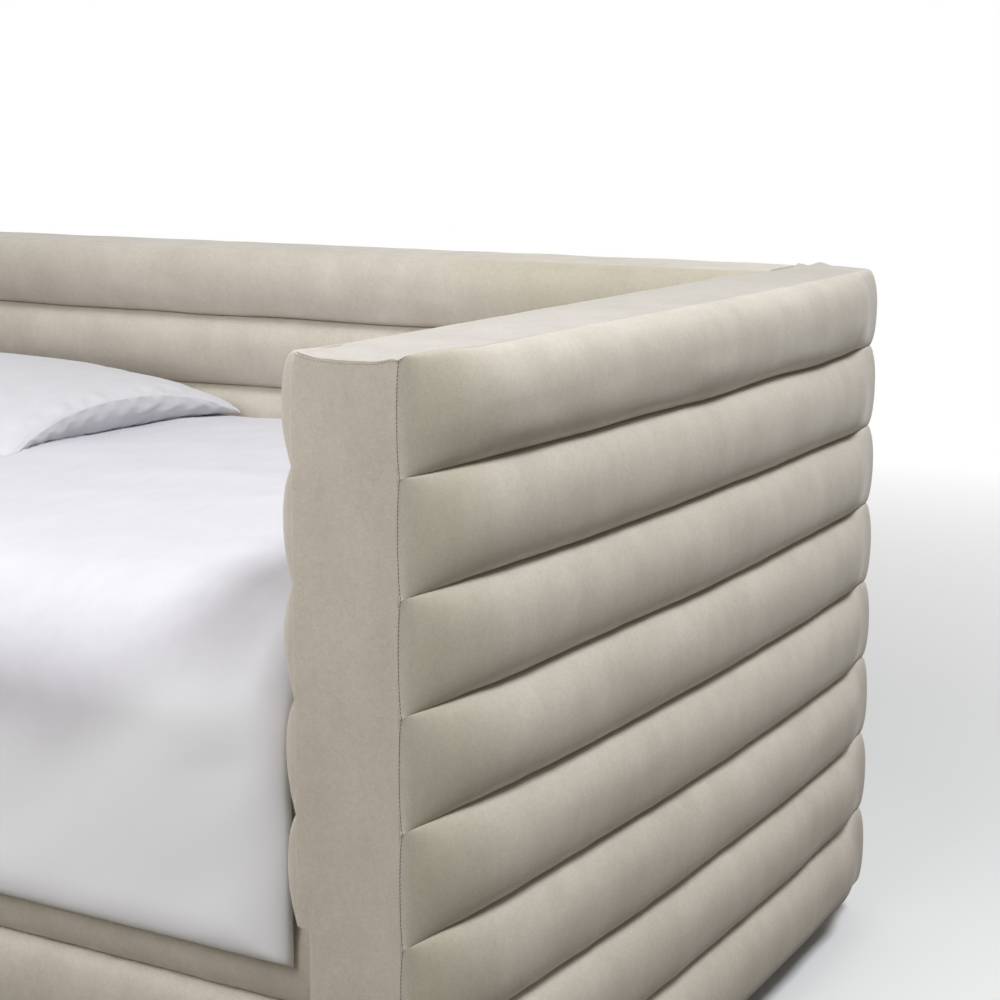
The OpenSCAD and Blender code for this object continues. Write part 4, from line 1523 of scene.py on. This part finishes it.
def staple_wire(line):
    """A flat wire along a line of points: rings of points, closed at both ends."""
    line = np.array(line)
    ahead = np.gradient(line, axis=0)
    ahead = ahead / np.linalg.norm(ahead, axis=1, keepdims=True)
    beside = np.cross(line[-1] - line[0], (0, 0, 1))
    beside = beside / np.linalg.norm(beside)
    points = []
    for place, way in zip(line, ahead):
        across = np.cross(way, beside)
        for k in range(WIRE_SIDES):
            angle = TAU * k / WIRE_SIDES
            wide = WIRE_HALF_WIDE * beside * math.cos(angle)
            points.append(place + wide + WIRE_HALF_THICK * across * math.sin(angle))
    return points, ring_faces(len(line), WIRE_SIDES)


def add_staples(whole, start, end, pitch, face_z, turned=False):
    """Adds staples at an even pitch from start to end, their crowns on a face that is seen from below."""
    start, end = np.array(start), np.array(end)
    run = end - start
    count = max(1, int(round(np.linalg.norm(run) / pitch)))
    way = run / np.linalg.norm(run)
    if turned:
        way = np.array([-way[1], way[0]])
    for k in range(count):
        spot = start + run * (k + 0.5) / count
        line = [(*(spot + way * along * MM), face_z + up * MM) for along, up in STAPLE]
        add_part(whole, *staple_wire(line))


def staple_piece(name, staples):
    """The piece made of all the staples that were added to a whole."""
    new_piece(name, *staples, ZINC, "frame", "zinc_steel")
    print(name, len(staples[0]) // (len(STAPLE) * WIRE_SIDES))


# %% Straps
SLATS = 12
STRAP_THICK = 1.3 * MM
strap_boxes = sorted(separate_boxes("slat_straps"), key=lambda box: box[0][1])
strap_staples = ([], [])
for label, (low, high) in zip(("front", "rear"), strap_boxes):
    name = f"{label}_slat_strap"
    stretched(name, low, high, WEBBING, "webbing", "slat_straps", "slat_01", STRAP_THICK, 0, 401)
    middle = (low[1] + high[1]) / 2
    for number in range(1, SLATS + 1):
        slat_low, slat_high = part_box(f"slat_{number:02d}")
        here = (slat_low[0] + slat_high[0]) / 2
        add_staples(strap_staples, (here, middle - 6 * MM), (here, middle + 6 * MM), 1, low[2], True)
staple_piece("slat_strap_staples", strap_staples)

# %% Dust covers
COVER_THICK = 0.5 * MM
COVER_RIPPLE = 0.15 * MM
COVER_INSET = 7 * MM
COVER_PITCH = 62 * MM
CARRIERS = ("left_arm_rails", "back_frame_rails", "right_arm_rails")
cover_boxes = sorted(separate_boxes("dust_covers"), key=lambda box: box[0][0] + box[1][0])
cover_staples = ([], [])
for carrier, (low, high) in zip(CARRIERS, cover_boxes):
    name = carrier.split("_")[0] + "_dust_cover"
    cloth_kind = (DUST_CLOTH, "dust_cloth", "dust_covers")
    stretched(name, low, high, *cloth_kind, carrier, COVER_THICK, COVER_RIPPLE, 411)
    left, front = low[:2] + COVER_INSET
    right, rear = high[:2] - COVER_INSET
    corners = [(left, front), (right, front), (right, rear), (left, rear)]
    for start, end in zip(corners, corners[1:] + corners[:1]):
        add_staples(cover_staples, start, end, COVER_PITCH, low[2] - 0.1 * MM)
staple_piece("dust_cover_staples", cover_staples)

# %% Finishes on the CAD solids
def longest_axis(node):
    """0, 1 or 2 for the direction in which a CAD node is longest."""
    low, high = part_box(node)
    return int(np.argmax(np.array(high) - np.array(low)))


UPRIGHT = ("posts", "leg")
FINISHES = {
    "hardboard": HARDBOARD,
    "zinc_steel": ZINC,
    "foot_plastic": FOOT_PLASTIC,
    "webbing": WEBBING,
    "dust_cloth": DUST_CLOTH,
    "ticking": TICKING,
    "bed_linen": LINEN,
    "upholstery": UPHOLSTERY,
}
hidden = [node for node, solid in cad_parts.items() if solid.hide_render]
finished = 0
for node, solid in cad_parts.items():
    for place in solid.material_slots:
        kind = place.material.name.split(".")[0]
        if kind == "timber":
            axis = 2 if any(word in node for word in UPRIGHT) else longest_axis(node)
            place.material = pine[axis]
        else:
            place.material = FINISHES[kind]
        finished += 1
print("finished", finished, "CAD solids,", len(hidden), "of them hidden")
